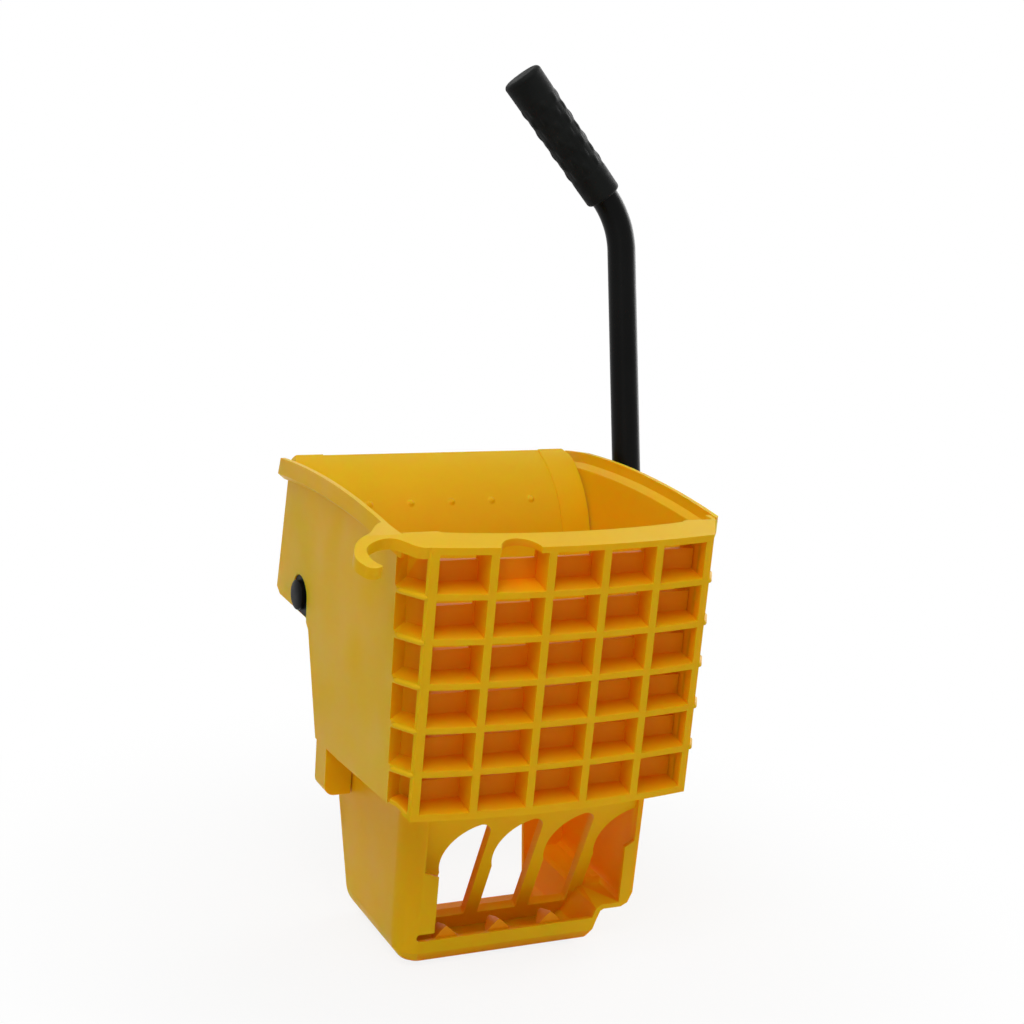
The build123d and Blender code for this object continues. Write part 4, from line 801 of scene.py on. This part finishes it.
def black_rubber():
    """Soft black rubber."""
    pores = Grain(scale=1400, detail=3, strength=0.2, height=0.0002)
    return finish_material(
        "black_rubber", first=(0.004, 0.0046, 0.0042), second=(0.0075, 0.0085, 0.0078),
        patches=45.0, rough=(0.5, 0.66), layers=(pores,), specular=0.09)[0]


def black_plastic():
    """Black bearing plastic."""
    satin = Grain(scale=800, detail=2, strength=0.1, height=0.0002)
    return finish_material(
        "black_bearing_plastic", first=(0.004, 0.004, 0.0045), second=(0.007, 0.007, 0.0075),
        patches=30.0, rough=(0.4, 0.52), layers=(satin,), specular=0.08)[0]


def white_nylon():
    """Natural nylon."""
    satin = Grain(scale=700, detail=2, strength=0.1, height=0.0002)
    return finish_material(
        "white_nylon", first=(0.72, 0.69, 0.60), second=(0.80, 0.78, 0.70), patches=40.0,
        rough=(0.38, 0.5), layers=(satin,))[0]


def zinc_plate():
    """Zinc-plated steel, a little mottled."""
    mottle = Grain(scale=1500, detail=2, strength=0.08, height=0.0001)
    return finish_material(
        "zinc_plate", first=(0.50, 0.50, 0.49), second=(0.66, 0.66, 0.64), patches=90.0,
        rough=(0.24, 0.4), layers=(mottle,), metallic=1.0)[0]


def paint_nodes(names, material):
    """Gives CAD nodes a finish of their own."""
    for name in names:
        slots = NODES[name].data.materials
        slots.clear()
        slots.append(material)


class WRINGER_OT_mouldings(Operator):
    """Yellow mouldings with rounded edges"""
    bl_idname = "wringer.mouldings"
    bl_label = "Yellow mouldings"

    def execute(self, context):
        plastic, shape = context.scene.wringer_plastic, context.scene.wringer_shape
        material = yellow_plastic("yellow_moulding", plastic.glow)
        finish = (material, plastic.edge_round, plastic.crease)
        rounded_piece(hopper_mesh(shape), "hopper_shell", "hopper_body", *finish)
        rounded_piece(plate_mesh(shape), "press_plate_shell", "press_plate", *finish)
        feet = (shape.foot_round, strut_feet)
        rounded_piece(box_mesh(shape), "drain_box_shell", "drain_box", *finish, wide=feet)
        sides, columns = (-1, 1), (-1, 0, 1)
        ribs = np.stack([corner_rib(shape, side) for side in sides])
        bars = np.stack([corner_bars(shape, side) for side in sides])
        webs = np.stack([corner_web(shape, side) for side in sides])
        peaks = np.stack([sill_peak(shape, column) for column in columns])
        added = {"corner_ribs": ("hopper_body", ribs),
                 "corner_bars": ("hopper_body", bars),
                 "rim_corner": ("hopper_body", rim_corner()),
                 "corner_webs": ("hopper_body", webs),
                 "sill_peaks": ("drain_box", peaks)}
        thin = yellow_plastic("yellow_thin_moulding", 0.0)
        for name, (node, points) in added.items():
            mesh = grid_mesh(name, points)
            # Painted shade for the added pieces too
            store_painted_shade(mesh)
            link_piece(mesh, name, node, thin, stands_in=False)
        paint_nodes([name for name in NODES if name.startswith("axle_keeper")], material)
        return {"FINISHED"}


class WRINGER_OT_lever(Operator):
    """Lever tube: a circle carried up the lever, round the bend and along the grip"""
    bl_idname = "wringer.lever"
    bl_label = "Lever tube"

    def execute(self, context):
        lever = context.scene.wringer_lever
        up, right, back = lever_frame(lever)
        foot = AXLE + right * lever.offset
        reach = lever.bend_radius * tan(lever.bend / 2)
        turn = np.linspace(0, lever.bend, BEND_ROWS)[:, None]
        hub = foot + up * (lever.corner - reach) - right * lever.bend_radius
        bend = hub + lever.bend_radius * (np.cos(turn) * right + np.sin(turn) * up)
        lean = up * cos(lever.bend) - right * sin(lever.bend)
        tip = foot + up * lever.corner + lean * lever.tip
        low = foot + up * lever.foot
        centres = np.vstack((low, low, bend, tip, tip))
        angles = np.concatenate(((0, 0), turn[:, 0], (lever.bend, lever.bend)))[:, None]
        across = np.cos(angles) * right + np.sin(angles) * up
        radii = np.full((len(centres), RING), lever.tube_radius)
        radii[[0, -1]] = 0
        mesh = grid_mesh("lever_sweep", rings_round(centres, across, back, radii))
        link_piece(mesh, "lever_sweep", "lever_tube", black_paint())
        return {"FINISHED"}


class WRINGER_OT_grip(Operator):
    """Grip: a tapered sleeve with smooth ends and staggered nubs between them"""
    bl_idname = "wringer.grip"
    bl_label = "Grip"

    def execute(self, context):
        grip, lever = context.scene.wringer_grip, context.scene.wringer_lever
        up, right, back = lever_frame(lever)
        corner = AXLE + right * lever.offset + up * lever.corner
        lean = up * cos(lever.bend) - right * sin(lever.bend)
        across = right * cos(lever.bend) + up * sin(lever.bend)
        length = grip.end - grip.start
        stations = np.linspace(grip.foot_step, length - grip.end_round, GRIP_ROWS)
        taper = np.interp(stations, (0, length), (grip.low_radius, grip.top_radius))
        from_collar = np.minimum(stations, length - stations) - grip.collar
        inside = np.clip(from_collar / grip.foot_step, 0, 1)
        around = 2 * RING
        along = np.cos(2 * pi * stations / grip.nub_pitch)
        wave = np.cos(grip.nubs_round * full_turn(around))[None] * along[:, None]
        nubs = grip.nub_height * (np.clip(wave, 0, 1) - NUB_SUNK)
        body = taper[:, None] + inside[:, None] * nubs
        quarter = np.linspace(0, pi / 2, GRIP_END_ROWS)
        cap_at = length - grip.end_round * (1 - np.sin(quarter))
        cap_r = grip.top_radius - grip.end_round * (1 - np.cos(quarter))
        foot_at = grip.foot_step * (1 - np.cos(quarter))
        foot_r = grip.low_radius - grip.foot_step * (1 - np.sin(quarter))
        at = np.concatenate(((0,), foot_at, stations, cap_at, (length,)))
        ends = [np.repeat(radii[:, None], around, axis=1) for radii in (foot_r, cap_r)]
        pole = np.zeros((1, around))
        radii = np.vstack((pole, ends[0], body, ends[1], pole))
        centres = corner + (grip.start + at)[:, None] * lean
        points = rings_round(centres, across, back, radii)
        link_piece(grid_mesh("grip_sleeve", points), "grip_sleeve", "handle_grip", black_rubber())
        return {"FINISHED"}


class WRINGER_OT_axle(Operator):
    """Axle, its domed end cap, socket, cranks and bushes"""
    bl_idname = "wringer.axle"
    bl_label = "Axle and socket"

    def execute(self, context):
        low, high = (np.array(corner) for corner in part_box("axle_cap"))
        radius = (high[2] - low[2]) / 2
        turn = np.linspace(0, pi / 2, CAP_ROWS)
        dome_x = low[0] + CAP_DOME * (1 - np.cos(turn))
        dome_r = radius * np.sin(turn) ** CAP_FULL
        plug = radius - CAP_STEP
        at = np.concatenate((dome_x, (high[0] - PLUG_LENGTH, high[0], high[0])))
        ring = np.concatenate((dome_r, (plug, plug, 0)))
        centres = np.stack((at, np.full_like(at, AXLE[1]), np.full_like(at, AXLE[2])), axis=1)
        points = rings_round(centres, BACK, UP, np.repeat(ring[:, None], RING, axis=1))
        link_piece(grid_mesh("axle_dome", points), "axle_dome", "axle_cap", black_plastic())
        paint = black_paint()
        casting = merged_copy("lever_socket", "socket_casting")
        rounded_piece(casting, "socket_casting", "lever_socket", paint, SOCKET_ROUND, SOCKET_CREASE)
        paint_nodes(("axle_tube", "crank_left", "crank_right"), paint)
        paint_nodes(("axle_bush_left", "axle_bush_right"), black_plastic())
        return {"FINISHED"}


class WRINGER_OT_hardware(Operator):
    """Bolts, screws, pins, collars and rollers"""
    bl_idname = "wringer.hardware"
    bl_label = "Hardware"

    def execute(self, context):
        for slot, material in (("zinc_steel", zinc_plate()), ("white_nylon", white_nylon())):
            paint_nodes([name for name in NODES if SLOT_OF[name] == slot], material)
        return {"FINISHED"}


def add_lamp(scene, name, place, size, power):
    """A large soft lamp that points at the hopper."""
    data = bpy.data.lights.new(name, "AREA")
    data.shape = "DISK"
    data.size = size
    data.energy = power
    lamp = bpy.data.objects.new(name, data)
    scene.collection.objects.link(lamp)
    lamp.location = place
    ahead = Vector(LAMP_TARGET) - Vector(place)
    lamp.rotation_euler = ahead.to_track_quat("-Z", "Y").to_euler()


def seen_directly(tree):
    """1 for what the camera sees itself, in a mirror or through glass, and 0 for other light."""
    path = tree.nodes.new("ShaderNodeLightPath")
    total = path.outputs["Is Camera Ray"]
    for name in ("Is Glossy Ray", "Is Transmission Ray"):
        add = tree.nodes.new("ShaderNodeMath")
        add.operation = "MAXIMUM"
        tree.links.new(total, add.inputs[0])
        tree.links.new(path.outputs[name], add.inputs[1])
        total = add.outputs[0]
    return total


def floor_material(stage):
    """A pale matt floor that keeps the shadow and fades to white away from the wringer."""
    material, tree, shader = empty_material("pale_floor")
    shader.inputs["Base Color"].default_value = (*stage.floor_colour, 1)
    shader.inputs["Roughness"].default_value = FLOOR_ROUGH
    shader.inputs["Specular IOR Level"].default_value = 0.0
    place = tree.nodes.new("ShaderNodeTexCoord")
    distance = tree.nodes.new("ShaderNodeVectorMath")
    distance.operation = "LENGTH"
    tree.links.new(place.outputs["Object"], distance.inputs[0])
    fade = tree.nodes.new("ShaderNodeMapRange")
    fade.interpolation_type = "SMOOTHSTEP"
    fade.inputs["From Min"].default_value = FADE_NEAR
    fade.inputs["From Max"].default_value = FADE_FAR
    fade.inputs["To Min"].default_value = stage.floor_lift
    fade.inputs["To Max"].default_value = 1.0
    tree.links.new(distance.outputs["Value"], fade.inputs["Value"])
    share = tree.nodes.new("ShaderNodeMath")
    share.operation = "MULTIPLY"
    tree.links.new(seen_directly(tree), share.inputs[0])
    tree.links.new(fade.outputs["Result"], share.inputs[1])
    white = tree.nodes.new("ShaderNodeEmission")
    mix = tree.nodes.new("ShaderNodeMixShader")
    tree.links.new(share.outputs[0], mix.inputs[0])
    tree.links.new(shader.outputs["BSDF"], mix.inputs[1])
    tree.links.new(white.outputs["Emission"], mix.inputs[2])
    output = next(node for node in tree.nodes if node.type == "OUTPUT_MATERIAL")
    tree.links.new(mix.outputs["Shader"], output.inputs["Surface"])
    return material


def add_floor(scene, stage):
    """A wide square floor just under the wringer."""
    mesh = bpy.data.meshes.new("floor")
    corners = np.array(((-1, -1, 0), (1, -1, 0), (1, 1, 0), (-1, 1, 0))) * FLOOR_HALF
    mesh.from_pydata((corners - (0, 0, FLOOR_GAP)).tolist(), [], [(0, 1, 2, 3)])
    floor = bpy.data.objects.new("floor", mesh)
    scene.collection.objects.link(floor)
    mesh.materials.append(floor_material(stage))


def add_world(scene, stage):
    """Even light from all round, which shows as white where it is seen directly."""
    world = bpy.data.worlds.new("studio")
    scene.world = world
    world.use_nodes = True
    tree = world.node_tree
    background = next(node for node in tree.nodes if node.type == "BACKGROUND")
    level = tree.nodes.new("ShaderNodeMapRange")
    level.inputs["To Min"].default_value = stage.world_level
    level.inputs["To Max"].default_value = 1.0
    tree.links.new(seen_directly(tree), level.inputs["Value"])
    tree.links.new(level.outputs["Result"], background.inputs["Strength"])
    background.inputs["Color"].default_value = (1, 1, 1, 1)


def add_camera(scene, stage):
    """The camera at its place, turned by azimuth and elevation and rolled about its own axis."""
    turn, level_way = stage.azimuth, cos(stage.elevation)
    ahead = Vector((sin(turn) * level_way, cos(turn) * level_way, -sin(stage.elevation)))
    right = Vector((cos(turn), -sin(turn), 0))
    down = ahead.cross(right)
    turned_right = right * cos(stage.roll) - down * sin(stage.roll)
    turned_down = right * sin(stage.roll) + down * cos(stage.roll)
    data = bpy.data.cameras.new("camera")
    data.lens = stage.lens
    camera = bpy.data.objects.new("camera", data)
    scene.collection.objects.link(camera)
    axes = Matrix((turned_right, -turned_down, -ahead)).transposed().to_4x4()
    camera.matrix_world = Matrix.Translation(stage.place) @ axes
    scene.camera = camera


class WRINGER_OT_stage(Operator):
    """Pale floor, soft lamps and the camera"""
    bl_idname = "wringer.stage"
    bl_label = "Stage"

    def execute(self, context):
        scene, stage = context.scene, context.scene.wringer_stage
        scene.view_settings.view_transform = "Standard"
        add_floor(scene, stage)
        add_world(scene, stage)
        for name, (place, size, power) in LAMPS.items():
            add_lamp(scene, name, place, size, getattr(stage, power))
        add_camera(scene, stage)
        return {"FINISHED"}


class WRINGER_PT_sidebar(Panel):
    """The wringer's pieces and sizes"""
    bl_idname = "WRINGER_PT_sidebar"
    bl_label = "Mop wringer"
    bl_space_type = "VIEW_3D"
    bl_region_type = "UI"
    bl_category = "Wringer"

    def draw(self, context):
        layout = self.layout
        for operator in OPERATORS:
            layout.operator(operator.bl_idname)
        for name in SETTINGS:
            box = layout.box()
            group = getattr(context.scene, name)
            for prop in group.bl_rna.properties.keys():
                if prop not in {"rna_type", "name"}:
                    box.prop(group, prop)


SETTINGS = {"wringer_plastic": WringerPlastic, "wringer_shape": WringerShape,
            "wringer_lever": WringerLever, "wringer_grip": WringerGrip,
            "wringer_stage": WringerStage}
OPERATORS = (WRINGER_OT_mouldings, WRINGER_OT_lever, WRINGER_OT_grip, WRINGER_OT_axle,
             WRINGER_OT_hardware, WRINGER_OT_stage)


def register():
    """Adds the classes and the scene's settings."""
    for cls in (*SETTINGS.values(), *OPERATORS, WRINGER_PT_sidebar):
        bpy.utils.register_class(cls)
    for name, group in SETTINGS.items():
        setattr(bpy.types.Scene, name, PointerProperty(type=group))


def unregister():
    """Takes the settings and the classes away again."""
    for name in SETTINGS:
        delattr(bpy.types.Scene, name)
    for cls in reversed((*SETTINGS.values(), *OPERATORS, WRINGER_PT_sidebar)):
        bpy.utils.unregister_class(cls)


def main():
    """Makes every piece and the stage."""
    register()
    bpy.ops.wringer.mouldings()
    bpy.ops.wringer.lever()
    bpy.ops.wringer.grip()
    bpy.ops.wringer.axle()
    bpy.ops.wringer.hardware()
    bpy.ops.wringer.stage()


if __name__ == "__main__":
    main()
